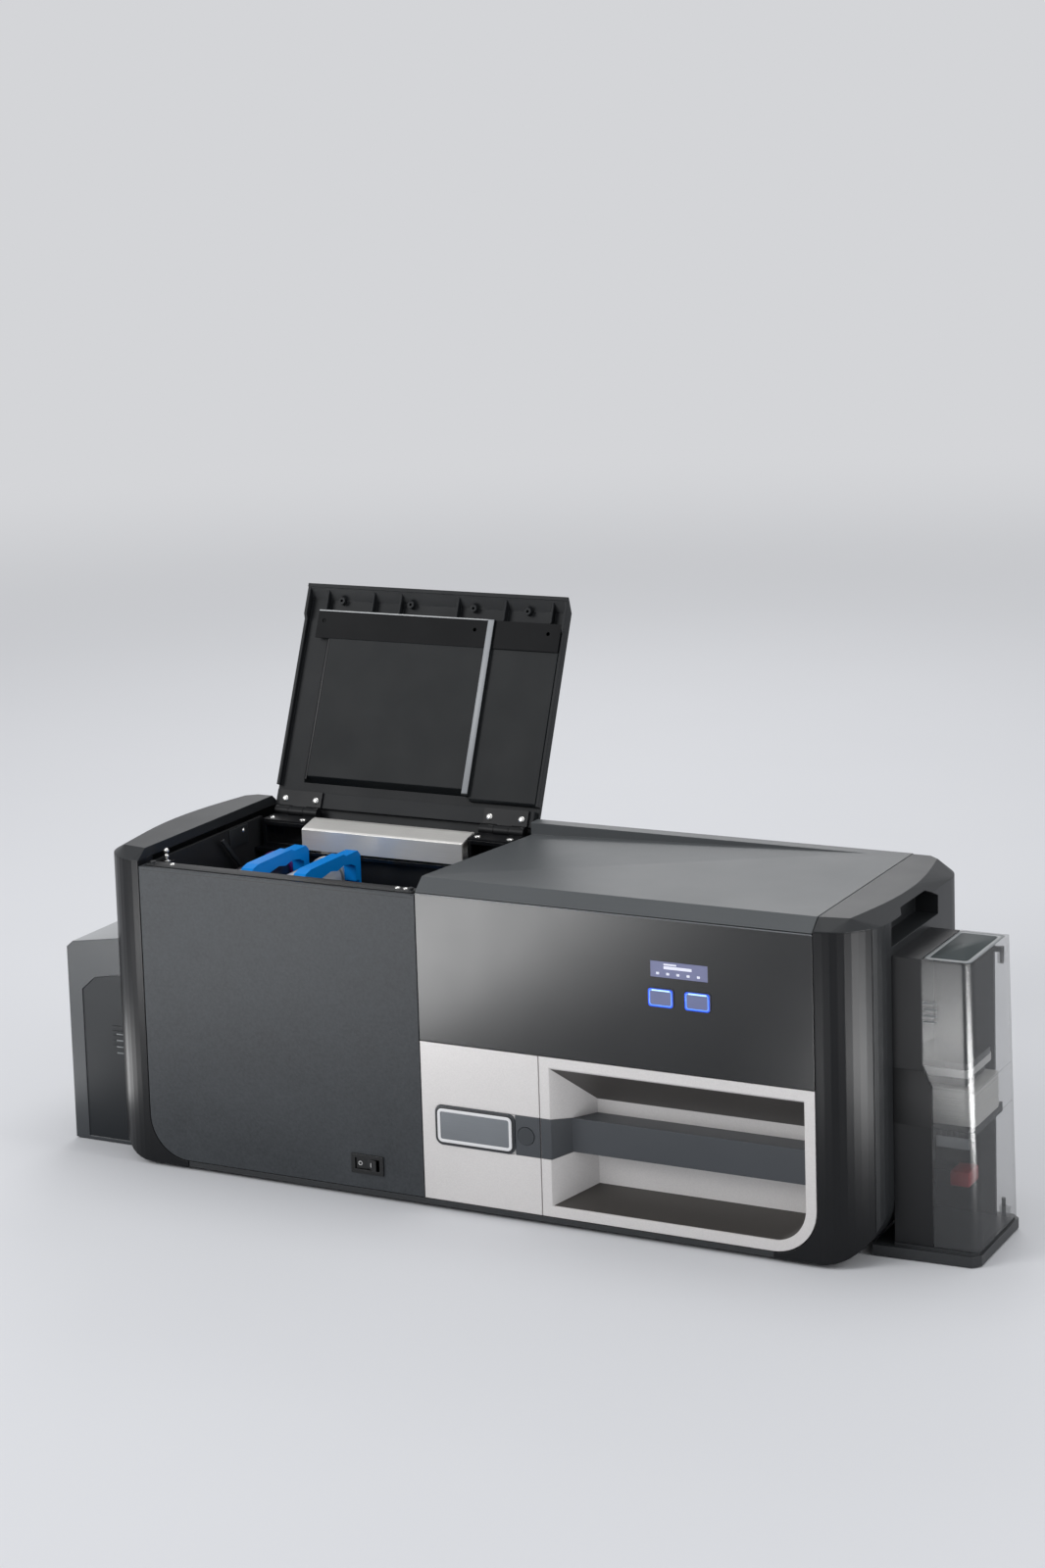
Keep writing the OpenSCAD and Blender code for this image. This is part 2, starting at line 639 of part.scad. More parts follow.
module laminator_lid() color("#3c3e41") at_home() opened() {
    side_plate(lid_x0, lid_x1) polygon(cover_profile(lid_y0, lid_y1, cover_t, z_lip - 0.8, body_h - 9));
    // side walls
    for (x = [lid_x0, lid_x1 - 2.5]) side_plate(x, x + 2.5) polygon([
        [lid_y0 + cover_t - 0.5, z_lip], [lid_y0 + cover_chamfer_d + 1, body_h - cover_t + 0.5],
        [liner_y1 + 4, body_h - cover_t + 0.5], [liner_y1 + 4, z_lip + 2.5], [lid_y0 + 30, z_lip + 2.5],
        [lid_y0 + 26, z_lip]]);
    // hinge band and the stiffening ribs and bosses of the front channel
    box(lid_x0 + 2.5, lid_x1 - 2.5, lid_axis_y - leaf_l, lid_axis_y - 5, upper_leaf_z + leaf_t, body_h - cover_t + 0.5);
    for (x = [-226, -182, -156, -102, -58, -15])
        box(x, x + 1.4, lid_y0 + cover_t + 2, channel_y, z_lip + 1, body_h - cover_t + 0.5);
    for (x = [-212, -146, -87, -37])
        difference() {
            rod_z(x, 14, z_lip + 2, body_h - cover_t + 0.5, 3);
            rod_z(x, 14, z_lip + 1, body_h - cover_t - 1, 1.2);
        }
}

module lid_liner() color("#26292b") at_home() opened() {
    // raised inner panel with bevelled border, its bright rib and the smaller right panel
    liner_z = z_lip + 0.5;
    top = body_h - cover_t;
    intersection() {
        side_plate(liner_x0, liner_x1) polygon([
            [channel_y + 24, top], [channel_y + 24, liner_z], [liner_y1 - 5, liner_z], [liner_y1, top]]);
        front_plate(0, body_d) polygon([
            [liner_x0, top], [liner_x0 + 5, liner_z], [liner_x1, liner_z], [liner_x1, top]]);
    }
    box(liner_x1, liner_x1 + 6, channel_y, liner_y1, liner_z - 1.5, top);
    side_plate(liner_x1 + 6, lid_x1 - 3) polygon([
        [channel_y + 24, top], [channel_y + 24, liner_z + 1.5], [liner_y1 + 2, liner_z + 1.5],
        [liner_y1 + 4, liner_z + 3], [liner_y1 + 4, top]]);
}

module lid_guard_strip() color("#55595c") at_home() opened() difference() {
    union() {
        box(lid_x0 + 14, liner_x1 - seat, channel_y, channel_y + 23.7, z_lip + 1, z_lip + 2.6);
        box(lid_x0 + 14, liner_x1 - seat, channel_y, channel_y + 1.6, z_lip + 1, body_h - cover_t);
        box(liner_x1 + 6 + seat, lid_x1 - 3, channel_y + 0.4, channel_y + 23.7, z_lip + 1, z_lip + 2.6);
        box(liner_x1 + 6 + seat, lid_x1 - 3, channel_y + 0.4, channel_y + 2, z_lip + 1, body_h - cover_t);
    }
    for (x = [lid_x0 + 20, liner_x1 - 12, lid_x1 - 14])
        rod_z(x, channel_y + 9, z_lip - 1, z_lip + 4, 1.6);
}

module upper_hinge_leaves() color("#222326") at_home() opened() for (x = hinge_x) {
    knuckle = leaf_w / 3;
    difference() {
        union() {
            box(x - leaf_w / 2, x + leaf_w / 2, lid_axis_y - leaf_l, lid_axis_y - 5,
                upper_leaf_z, upper_leaf_z + leaf_t);
            rod_x(lid_axis_y, lid_axis_z, x - knuckle / 2, x + knuckle / 2, knuckle_r);
            box(x - knuckle / 2, x + knuckle / 2, lid_axis_y - 6, lid_axis_y - 1,
                upper_leaf_z, upper_leaf_z + leaf_t);
        }
        rod_x(lid_axis_y, lid_axis_z, x - leaf_w, x + leaf_w, hinge_pin_r + pin_gap);
        for (s = [-1, 1])
            rod_z(x + s * hinge_screw_dx, lid_axis_y - 10.5, upper_leaf_z - 1, upper_leaf_z + leaf_t + 1, 1.4);
    }
}

module body_screws() color("#d8d8d8") at_home() {
    for (x = hinge_x)
        for (s = [-1, 1]) {
            translate([x + s * hinge_screw_dx, pedestal_y0 + 7, lower_leaf_z]) screw_dome(2.8, 1.3);
            rod_z(x + s * hinge_screw_dx, pedestal_y0 + 7, lower_leaf_z - leaf_t, lower_leaf_z, 1.3);
        }
}

module lid_screws() color("#d8d8d8") at_home() opened()
    for (x = hinge_x)
        for (s = [-1, 1]) {
            translate([x + s * hinge_screw_dx, lid_axis_y - 10.5, upper_leaf_z])
                mirror([0, 0, 1]) screw_dome(2.8, 1.3);
            rod_z(x + s * hinge_screw_dx, lid_axis_y - 10.5, upper_leaf_z, upper_leaf_z + leaf_t, 1.3);
        }

// ---------- printer section ----------
cover_axis_y = body_d - 9;
cover_axis_z = body_h - 8;
cover_x0 = part_gap;
cover_x1 = x_right - part_gap;
cover_pin_r = 2;
cover_lugs = [46, x_right - 46];
rim_y = body_d - 20;

// Space above the scooped part of the cover: a plane that sinks towards the rear left corner
module scoop(drop) {
    run_y = rim_y - 15;
    a = scoop_drop / run_y;
    b = scoop_drop / scoop_len;
    n = sqrt(1 + a * a + b * b);
    intersection() {
        translate([0, 15, body_h - drop]) rotate([-asin(a / n), -atan(b), 0])
            translate([-far, -far, 0]) cube([2 * far, 2 * far, 60]);
        box(-far, far, -far, rim_y, 0, far);
    }
}

module printer_lid() color("#6f7275") at_home() difference() {
    side_plate(cover_x0, cover_x1)
        polygon([[0, z_lip + 0.8], [cover_chamfer_d, body_h], [body_d - 8, body_h], [body_d, body_h - 5],
                 [body_d, z_lip - 4], [body_d - 3, z_lip - 4], [body_d - 3, z_lip - 8],
                 [28, z_lip - 8], [16, z_lip + 0.5], [0, z_lip + 0.5]]);
    scoop(0);
    // notches in the rear skirt where the hinge arms reach in
    for (x = cover_lugs) box(x - 11, x + 11, body_d - 4, body_d + 1, z_lip - 9, body_h - 6);
    // hollow underside, parallel to the top
    difference() {
        side_plate(cover_x0 + 2.5, cover_x1 - 2.5)
            polygon([[3.4, z_lip - 20], [3.4, z_lip + 0.2], [cover_chamfer_d + 1.2, body_h - cover_t],
                     [body_d - 9, body_h - cover_t], [body_d - 3, body_h - 6.6], [body_d - 3, z_lip - 20]]);
        translate([0, 3, 0]) scoop(cover_t);
    }
}

module cover_arm(x) {
    side_plate(x, x + 4) polygon([
        [bay_y1 - 2, z_lip - 24], [bay_y1, z_lip - 24], [cover_axis_y - 5, cover_axis_z - 14],
        [cover_axis_y + 2, cover_axis_z - 3], [cover_axis_y + 2, cover_axis_z + 2.4],
        [cover_axis_y - 2.4, cover_axis_z + 2.4], [cover_axis_y - 9, cover_axis_z - 9],
        [bay_y1 - 2, cover_axis_z - 13]]);
}

module printer_lid_liner() color("#2b2d2f") at_home() {
    // swinging lugs on the cover, each turning on a pin of the bay
    for (x = cover_lugs) difference() {
        union() {
            rod_x(cover_axis_y, cover_axis_z, x - 5, x + 5, 3.9);
            box(x - 5, x + 5, cover_axis_y - 3, cover_axis_y, cover_axis_z + 1, body_h - cover_t);
        }
        rod_x(cover_axis_y, cover_axis_z, x - 6, x + 6, cover_pin_r + pin_gap);
    }
    // card guide frame that hangs under the cover
    difference() {
        box(40, x_right - 40, 30, 120, z_lip - 6, z_lip - 3.5);
        box(60, x_right - 60, 44, 106, z_lip - 7, z_lip - 3);
    }
    difference() {
        for (x = [44, x_right - 48])
            for (y = [34, 112])
                box(x, x + 4, y, y + 4, z_lip - 4, body_h - cover_t);
        translate([0, 3, 0]) scoop(cover_t);
    }
}

module printer_bay() color("#17181a") at_home() difference() {
    x0 = part_gap / 2;
    x1 = x_right - part_gap;
    top = z_lip - 9;
    union() {
        difference() {
            box(x0, x1, bay_y0, bay_y1, deck_z, top);
            box(x0 + bay_t, x1 - bay_t, bay_y0 + bay_t, bay_y1 - bay_t, deck_z - 1, top + 1);
            // the drawer's recess lies in front of the bay
            box(x_frame - 2, x1 + 1, bay_y0 - 1, 41, deck_z - 1, z_silver + 4);
        }
        difference() {
            box(x_frame - 5, x1, 41, 44, deck_z, z_silver + 7);
            box(x_frame - 2, x1 - bay_t, 40, 45, deck_z - 1, deck_z);
        }
        box(x_frame - 5, x1, bay_y0, 44, z_silver + 4, z_silver + 7);
        box(x_frame - 5, x_frame - 2, bay_y0, 44, deck_z, z_silver + 7);
        // arms and pins of the cover hinge
        for (x = cover_lugs) {
            cover_arm(x - 9.6);
            cover_arm(x + 5.6);
            rod_x(cover_axis_y, cover_axis_z, x - 9.6, x + 9.6, cover_pin_r);
        }
    }
    // card slots through both end walls
    box(x0 - 1, x0 + bay_t + 1, path_y - slot_w / 2, path_y + slot_w / 2, path_z - 4, path_z + 6);
    box(x1 - bay_t - 1, x1 + 1, path_y - slot_w / 2, path_y + slot_w / 2, path_z - 4, path_z + 30);
}

module printhead() color("#b8babd") at_home() {
    // finned heat sink over the thermal edge
    nose_z = path_z + 0.5;
    difference() {
        front_plate(works_y0 + works_t, works_y1 - works_t) polygon([
            [platen_x - 1.5, nose_z], [platen_x + 1.5, nose_z], [platen_x + 4, nose_z + 6],
            [platen_x + 12, nose_z + 10], [platen_x + 12, nose_z + 46], [platen_x - 12, nose_z + 46],
            [platen_x - 12, nose_z + 10], [platen_x - 4, nose_z + 6]]);
        for (i = [-2:2])
            box(platen_x + 4.6 * i - 1.3, platen_x + 4.6 * i + 1.3, works_y0 + 8, works_y1 - 8,
                nose_z + 22, nose_z + 50);
    }
}

module platen_roller() color("#2e2f31") at_home() {
    rod_y(platen_x, platen_z, path_y - 32, path_y + 32, platen_r - 0.2);
    rod_y(platen_x, platen_z, works_y0 - 1.5, pulley_y1, shaft_r - 1);
    rod_y(platen_x, platen_z, pulley_y0, pulley_y1, platen_pulley_r);
}

module motor_pulley() color("#c0c2c4") at_home() difference() {
    rod_y(motor_x, motor_z, pulley_y0 - 1, pulley_y1, motor_pulley_r);
    rod_y(motor_x, motor_z, pulley_y0 - 2, pulley_y1 + 1, 2.5 + pin_gap);
}

module drive_motor() color("#8c8f92") at_home() {
    rod_y(motor_x, motor_z, pulley_y1 + 3, pulley_y1 + 33, 19);
    rod_y(motor_x, motor_z, pulley_y0, pulley_y1 + 4, 2.5);
    box(motor_x - 24, motor_x + 24, pulley_y1 + 1, pulley_y1 + 3, deck_z, motor_z + 22);
}

// Toothed belt round both pulleys
module belt_loop(grow) {
    hull() {
        translate([platen_x, platen_z]) circle(platen_pulley_r + grow);
        translate([motor_x, motor_z]) circle(motor_pulley_r + grow);
    }
}

module drive_belt() color("#1d1d1f") at_home() front_plate(pulley_y0 + 0.5, pulley_y1 - 0.5) difference() {
    belt_loop(seat + belt_t);
    belt_loop(seat);
}

ribbon_y0 = works_y0 + works_t + 0.4;
ribbon_y1 = works_y1 - works_t - 0.4;
module ribbon_frame() color("#e4e4e2") at_home() difference() {
    union() {
        for (y = [ribbon_y0, ribbon_y1 - 2.5]) front_plate(y, y + 2.5) difference() {
            polygon(soft_rect(platen_x - spool_dx - 14, platen_x + spool_dx + 14, spool_z - 14, spool_z + 34,
                [8, 8, 6, 6]));
            polygon([[platen_x - 15, 0], [platen_x + 15, 0], [platen_x + 15, spool_z + 8],
                     [platen_x - 15, spool_z + 8]]);
        }
        for (s = [-1, 1])
            box(platen_x + s * 26 - 5, platen_x + s * 26 + 5, ribbon_y0 + 1, ribbon_y1 - 1,
                spool_z + 24, spool_z + 30);
    }
    for (s = [-1, 1])
        rod_y(platen_x + s * spool_dx, spool_z, ribbon_y0 - 1, ribbon_y1 + 1, shaft_r + pin_gap);
}

module spool(s, film, film_color) {
    x = platen_x + s * spool_dx;
    color(film_color) rod_y(x, spool_z, ribbon_y0 + 6, ribbon_y1 - 6, film);
    color("#f0f0ee") rod_y(x, spool_z, ribbon_y0 - 0.2, ribbon_y1 + 0.2, shaft_r);
    color("#f0f0ee") for (y = [ribbon_y0 + 3.2, ribbon_y1 - 5.2]) rod_y(x, spool_z, y, y + 2, 9);
}
module ribbon_supply_spool() at_home() spool(1, ribbon_r, "#2a2a2e");
module ribbon_takeup_spool() at_home() spool(-1, 12, "#4a2f6b");

// ---------- laminate cartridges ----------
module cartridge(x) difference() {
    union() {
        for (y = [cart_y0, cart_y1 - cart_plate_t]) front_plate(y, y + cart_plate_t)
            polygon(soft_rect(x - 38, x + 8, takeup_z - 24, roll_z + 9, [10, 10, 6, 6]));
        // tie bars
        for (p = [[-34, takeup_z - 18], [3, takeup_z - 18], [3, roll_z - 26]])
            box(x + p[0], x + p[0] + 5, cart_y0 + 1, cart_y1 - 1, p[1], p[1] + 5);
        // arched carrying handle with a waved underside
        side_plate(x + roll_dx + film_r + 0.4, x + 8) polygon([
            [cart_y0, roll_z], [cart_y0, handle_z - 14], [cart_y0 + 12, handle_z - 2],
            [cart_y0 + 20, handle_z], [cart_y1 - 26, handle_z], [cart_y1 - 22, handle_z - 2],
            [cart_y1 - 4, handle_z - 2], [cart_y1, handle_z - 6], [cart_y1, roll_z],
            [cart_y1 - 8, roll_z], [cart_y1 - 8, handle_z - 14], [cart_y1 - 14, handle_z - 11],
            [cart_y1 - 26, handle_z - 9], [cart_y1 - 36, handle_z - 11], [cart_y1 - 46, handle_z - 9],
            [cart_y0 + 36, handle_z - 11], [cart_y0 + 26, handle_z - 9], [cart_y0 + 18, handle_z - 11],
            [cart_y0 + 8, handle_z - 20], [cart_y0 + 8, roll_z]]);
        // take-up core between the plates
        rod_y(x + roll_dx, takeup_z, cart_y0 + 1, cart_y1 - 1, 9);
    }
    rod_y(x + roll_dx, roll_z, cart_y0 - 1, cart_y1 + 1, shaft_r + pin_gap);
}
module left_cartridge() color("#1180d8") at_home() cartridge(cart_x[0]);
module right_cartridge() color("#1180d8") at_home() cartridge(cart_x[1]);

module film_roll(x, core_color) {
    color("#d9d6cf") rod_y(x, roll_z, cart_y0 + 9, cart_y1 - 9, film_r - 1.5);
    color(core_color) for (y = [cart_y0 + 4, cart_y1 - 7]) rod_y(x, roll_z, y, y + 3, film_r);
    color(core_color) rod_y(x, roll_z, cart_y0 + 0.4, cart_y1 - 0.4, shaft_r);
}
module left_film_roll() at_home() film_roll(cart_x[0] + roll_dx, "#8a2f94");
module right_film_roll() at_home() film_roll(cart_x[1] + roll_dx, "#c9c6bf");

module heat_roller() color("#7a3b34") at_home() {
    rod_y(heat_x, path_z + 0.4 + heat_r, path_y - 33, path_y + 33, heat_r);
    rod_y(heat_x, path_z + 0.4 + heat_r, works_y0 - 3, works_y1 + 3, shaft_r);
}
module pressure_roller() color("#3a3a3c") at_home() {
    rod_y(heat_x, path_z - press_r, path_y - 33, path_y + 33, press_r - 0.2);
    rod_y(heat_x, path_z - press_r, works_y0 - 3, works_y1 + 3, shaft_r - 1);
}

// ---------- display, buttons, power switch, lock ----------
module lcd_window() color("#9a9cc8") at_home() {
    box(lcd_x - lcd_w / 2 + 0.2, lcd_x + lcd_w / 2 - 0.2, 0.4, skin_t + 1,
        lcd_z - lcd_h / 2 + 0.2, lcd_z + lcd_h / 2 - 0.2);
    box(lcd_x - lcd_w / 2 - 4, lcd_x + lcd_w / 2 + 4, skin_t, skin_t + 6,
        lcd_z - lcd_h / 2 - 3, lcd_z + lcd_h / 2 + 3);
}

module front_button(x) {
    front_plate(-1, skin_t + 2) polygon(soft_rect(x - button_w / 2 + seat, x + button_w / 2 - seat,
        button_z - button_h / 2 + seat, button_z + button_h / 2 - seat, [1.8, 1.8, 1.8, 1.8]));
    box(x - button_w / 2 - 1.4, x + button_w / 2 + 1.4, skin_t + seat, skin_t + seat + 1.4,
        button_z - button_h / 2 - 1.4, button_z + button_h / 2 + 1.4);
}
module left_button() color("#8f93c9") at_home() front_button(lcd_x - button_dx);
module right_button() color("#8f93c9") at_home() front_button(lcd_x + button_dx);

module rocker_bezel() color("#0e0e10") at_home() difference() {
    union() {
        box(rocker_x - rocker_w / 2, rocker_x + rocker_w / 2, -1.2, 0,
            rocker_z - rocker_h / 2, rocker_z + rocker_h / 2);
        box(rocker_x - rocker_w / 2 + 2, rocker_x + rocker_w / 2 - 2, -0.5, 18,
            rocker_z - rocker_h / 2 + 1.7, rocker_z + rocker_h / 2 - 1.7);
    }
    box(rocker_x - rocker_w / 2 + 3.4, rocker_x + rocker_w / 2 - 3.4, -2, 14,
        rocker_z - rocker_h / 2 + 3, rocker_z + rocker_h / 2 - 3);
    // bearings of the rocker's two trunnions
    rod_z(rocker_x, rocker_axis_y, rocker_z - rocker_h / 2, rocker_z + rocker_h / 2, trunnion_r + pin_gap);
}

module power_rocker() color("#17171a") at_home() {
    translate([rocker_x, rocker_axis_y, 0]) rotate([0, 0, -rocker_turn / 2])
        slab(rocker_z - rocker_h / 2 + 3 + seat, rocker_z + rocker_h / 2 - 3 - seat) {
            half = rocker_w / 2 - 4.6;
            polygon([[-half, -6.4], [0, -4.6], [half, -6.4], [half - 1.5, 1], [3, 6], [-3, 6], [-half + 1.5, 1]]);
        }
    rod_z(rocker_x, rocker_axis_y, rocker_z - rocker_h / 2 + 2, rocker_z + rocker_h / 2 - 2, trunnion_r);
}

cam_l = 20;
module lock_plug() color("#2c2e31") at_home() {
    rod_y(lock_x, z_band, -0.4, lock_y1, lock_d / 2);
    front_plate(lock_y1, lock_y1 + 2)
        polygon(soft_rect(lock_x - 5, lock_x + 5, z_band - 5, z_band + cam_l, [4, 4, 4, 4]));
}

// ---------- drawer ----------
function recess_profile(grow) = [
    [-1, z_panel + frame_w - grow - recess_foot / recess_d],
    [recess_d + grow, z_panel + frame_w + recess_foot - grow],
    [recess_d + grow, z_silver - frame_w - recess_top + grow],
    [-1, z_silver - frame_w + grow + recess_top / recess_d]];
function recess_plan(grow) = [
    [x_frame + frame_w - grow - recess_side / recess_d, -1],
    [x_frame_end - frame_w + grow + recess_end / recess_d, -1],
    [x_frame_end - frame_w - recess_end + grow, recess_d + grow],
    [x_frame + frame_w + recess_side - grow, recess_d + grow]];

module recess(grow) {
    intersection() {
        side_plate(x_frame, x_frame_end) polygon(recess_profile(grow));
        slab(z_panel, z_silver) polygon(recess_plan(grow));
        front_plate(-1, recess_d + grow + 1) polygon(soft_rect(x_frame, x_frame_end - frame_w + grow,
            z_panel + frame_w - grow, z_silver, [0, panel_corner_r - frame_w + grow, 0, 0]));
    }
}

module drawer_front() color("#c9c7c8") at_home() difference() {
    union() {
        front_plate(0, skin_t) polygon(soft_rect(x_frame, x_frame_end, z_panel, z_silver,
            [0, panel_corner_r, 0, 0]));
        difference() {
            front_plate(skin_t - 1, 12) polygon(soft_rect(x_frame, x_frame_end, z_panel, z_silver,
                [0, panel_corner_r, 0, 0]));
            front_plate(skin_t - 2, 13) polygon(soft_rect(x_frame + 2.5, x_frame_end - 2.5,
                z_panel + 2.5, z_silver - 2.5, [0, panel_corner_r - 2.5, 0, 0]));
        }
        difference() {
            recess(2.5);
            box(x_frame - 1, x_frame_end + 1, -5, 0, 0, body_h);
        }
    }
    recess(0);
    // the lock's cam turns into this slot
    box(x_frame - 1, x_frame + 3, lock_y1 - 1, 13, z_band - 7, z_band + cam_l + 1.5);
    // seat of the band
    box(x_frame - 1, x_frame + frame_w + 2, -1, 0.6, z_band - band_h / 2, z_band + band_h / 2);
}

function wall_x(y) = x_frame + frame_w + recess_side * y / recess_d;
module drawer_bar() color("#4a4e54") at_home() intersection() {
    slab(0, body_h) polygon([
        [x_frame + 0.2, 0], [wall_x(0) + 0.6, 0], [wall_x(bar_y) + 0.6, bar_y],
        [x_frame_end - frame_w - recess_end * bar_y / recess_d - seat, bar_y],
        [x_frame_end - frame_w - recess_end - seat, recess_d - 0.05], [wall_x(recess_d) + 0.1, recess_d - 0.05],
        [wall_x(0.6) + 0.1, 0.6], [x_frame + 0.2, 0.6]]);
    side_plate(0, x_right) polygon([
        [-1, z_band - band_h / 2 + 0.2], [0.6, z_band - band_h / 2 + 0.2], [bar_y, z_band - bar_h / 2],
        [recess_d + 1, z_band - bar_h / 2], [recess_d + 1, z_band + bar_h / 2], [bar_y, z_band + bar_h / 2],
        [0.6, z_band + band_h / 2 - 0.2], [-1, z_band + band_h / 2 - 0.2]]);
}

box_x0 = x_frame + 22;
box_x1 = x_right - 16;
box_y0 = recess_d + 2.5;
box_y1 = 172;
box_z0 = 15;
box_z1 = 72;
module drawer_box() color("#3b3d40") at_home() {
    difference() {
        box(box_x0, box_x1, box_y0, box_y1, box_z0, box_z1);
        box(box_x0 + 2, box_x1 - 2, box_y0 + 2, box_y1 - 2, box_z0 + 2, box_z1 + 1);
    }
    // glides on both sides
    box(box_x0 - 2.6, box_x0 + 1, box_y0 + 4, box_y1, 42.3, 46);
    box(box_x1 - 1, box_x1 + 2.6, box_y0 + 4, box_y1, 42.3, 46);
}

module drawer_runners() color("#a8aaad") at_home() {
    for (side = [0, 1]) {
        x = side == 0 ? box_x0 - 5 : box_x1 + 3;
        box(x, x + 2, recess_d + 8, body_d - 36, foot_h + pan_t, 50);
        box(side == 0 ? x + 1 : x - 2.2, side == 0 ? x + 4.2 : x + 1, recess_d + 8, body_d - 36, 40, 42);
        box(x - 3, x + 2.8, recess_d + 8, body_d - 36, foot_h + pan_t, foot_h + pan_t + 1.5);
    }
}

// ---------- input hopper ----------
side_x = hop_x0 + hopper_side_w;
module hopper_face(x1_top, x1_low) {
    polygon([[hop_x0, hop_z0], [x1_low, hop_z0], [x1_low, hop_step_z], [x1_top, hop_step_z + 16],
             [x1_top, hopper_h], [hop_x0, hopper_h]]);
}

module input_hopper_frame() color("#26282b") at_home() difference() {
    union() {
        // wall against the end cap
        box(hop_x0, hop_x0 + 2.4, hop_y0, hop_y1 - 1, hop_z0, hopper_h);
        // top, flush with the door's
        box(hop_x0, side_x, hop_y0, hop_y1 - 1, hopper_h - door_t, hopper_h);
        front_plate(hop_y0, hop_y0 + 2.4) hopper_face(side_x, side_x + hopper_step);
        box(hop_x0, door_axis_x - 6.6, hop_y1 - 3, hop_y1, hop_z0, hopper_h - 4);
        // ribbed floor under the cards
        difference() {
            box(hop_x0 + 1, hop_x1 - door_t - 2.4, hop_y0 + 4, hop_y1 - 4, hop_floor_z - 7, hop_floor_z);
            for (i = [0:9])
                box(hop_x0 + 6 + 4.6 * i, hop_x0 + 8.3 + 4.6 * i, hop_y0 + 3, hop_y0 + 6,
                    hop_floor_z - 8, hop_floor_z + 1);
        }
        box(hop_x0 + 1, hop_x0 + 20, hop_y1 - 6, hop_y1 - 2, hop_floor_z - 7, hop_floor_z);
        // feed arm of the lower card well
        box(hop_x0 + 1, hop_x0 + 44, path_y - 8, path_y + 8, 46, 56);
        // upper arm of the door's hinge
        rod_z(door_axis_x, door_axis_y, hopper_h - 12, hopper_h - 8, 1.8);
        box(door_axis_x - 12, door_axis_x, door_axis_y - 1.8, door_axis_y + 0.4, hopper_h - 12, hopper_h - 8);
        box(door_axis_x - 12, door_axis_x - 6.6, door_axis_y - 1.8, hop_y1 - 1, hopper_h - 12, hopper_h - 4);
        rod_z(door_axis_x, door_axis_y, hopper_h - 20, hopper_h - 9, door_pin_r);
    }
    // cards pass into the body
    box(hop_x0 - 1, hop_x0 + 3, path_y - slot_w / 2 + 1, path_y + slot_w / 2 - 1,
        hop_floor_z, hop_floor_z + stack_h + 2);
}

module input_hopper_base() color("#77797c") at_home() {
    x0 = x_out_r - 15;
    x1 = hop_x1 + hopper_flare;
    slab(1, 1 + tray_h - 2) polygon([[x0, hop_y0 - 6], [x1 - 4, hop_y0 - 3], [x1 + 1, hop_y0 + 3],
        [x1 + 1, hop_y1 + 2], [x1 - 5, hop_y1 + 8], [x0, hop_y1 + 8]]);
    slab(1 + tray_h - 3, hop_z0) polygon([[hop_x0, hop_y0 - 1], [x1 - 5, hop_y0 - 1],
        [x1 - 1.5, hop_y0 + 3], [x1 - 1.5, hop_y1 + 1], [hop_x0, hop_y1 + 1]]);
    rod_z(door_axis_x, door_axis_y, hop_z0 - 1, hop_z0 + 14, door_pin_r);
}

module card_stack() color("#f2f2f0") at_home()
    box(stack_x1 - card_l, stack_x1, path_y - card_w / 2, path_y + card_w / 2,
        hop_floor_z + 0.1, hop_floor_z + stack_h);

module card_weight() color("#f4f4f2") at_home() {
    z = hop_floor_z + stack_h + seat;
    box(hop_x0 + 6, hop_x0 + 46, path_y - 21, path_y + 21, z, z + 9);
    slab(z + 9, z + 18) polygon(soft_rect(hop_x0 + 4, hop_x0 + 50, path_y - 24, path_y + 24, [3, 3, 3, 3]));
}

// the outer side leans out towards its foot
module flared() {
    translate([hop_x1, 0, hopper_h]) rotate([0, -door_lean, 0]) translate([-hop_x1, 0, -hopper_h]) children();
}

module hopper_door() color([0.25, 0.27, 0.3, 0.6]) at_home() {
    x1 = hop_x1;
    door_z0 = hop_z0 + seat;
    difference() {
        intersection() {
            flared() slab(0, hopper_h + 5) polygon(soft_rect(hop_x0 + 5, x1, hop_y0, hop_y1,
                [0, door_corner_r, 0, 0]));
            front_plate(hop_y0 - 1, hop_y1 + 1) polygon([
                [side_x + seat, hopper_h], [side_x + seat, hop_step_z + 16.2],
                [side_x + hopper_step + seat, hop_step_z + 0.2], [side_x + hopper_step + seat, door_z0],
                [x1 + 10, door_z0], [x1 + 10, hopper_h]]);
        }
        difference() {
            flared() slab(-5, hopper_h + 5) polygon(soft_rect(hop_x0, x1 - door_t, hop_y0 + door_t,
                hop_y1 + 5, [0, door_corner_r - door_t, 0, 0]));
            box(hop_x0 - 10, x1 + 10, hop_y0, hop_y1 + 10, hopper_h - door_t, hopper_h + 10);
        }
        // inset panel of the top and the two moulded lines round the middle
        slab(hopper_h - 0.6, hopper_h + 1) polygon(soft_rect(side_x + 4, x1 - 5, hop_y0 + 6, hop_y1 - 8,
            [3, 3, 3, 3]));
        for (z = [98, hop_step_z - 1])
            difference() {
                box(side_x - 2, x1 + 10, hop_y0 - 1, hop_y1 + 1, z, z + 0.8);
                flared() slab(z - 6, z + 6) polygon(soft_rect(hop_x0 - 5, x1 - 0.5, hop_y0 + 0.5, hop_y1 + 5,
                    [0, door_corner_r - 0.5, 0, 0]));
            }
    }
    // hinge lugs
    for (z = [hop_z0 + 1, hopper_h - 20]) difference() {
        union() {
            rod_z(door_axis_x, door_axis_y, z, z + 7, door_lug_r);
            box(door_axis_x, x1 - door_t + 0.5 + hopper_flare * (hopper_h - z - 7) / (hopper_h - hop_z0),
                door_axis_y - 3, door_axis_y + 1, z, z + 7);
        }
        rod_z(door_axis_x, door_axis_y, z - 1, z + 8, door_pin_r + pin_gap);
    }
}

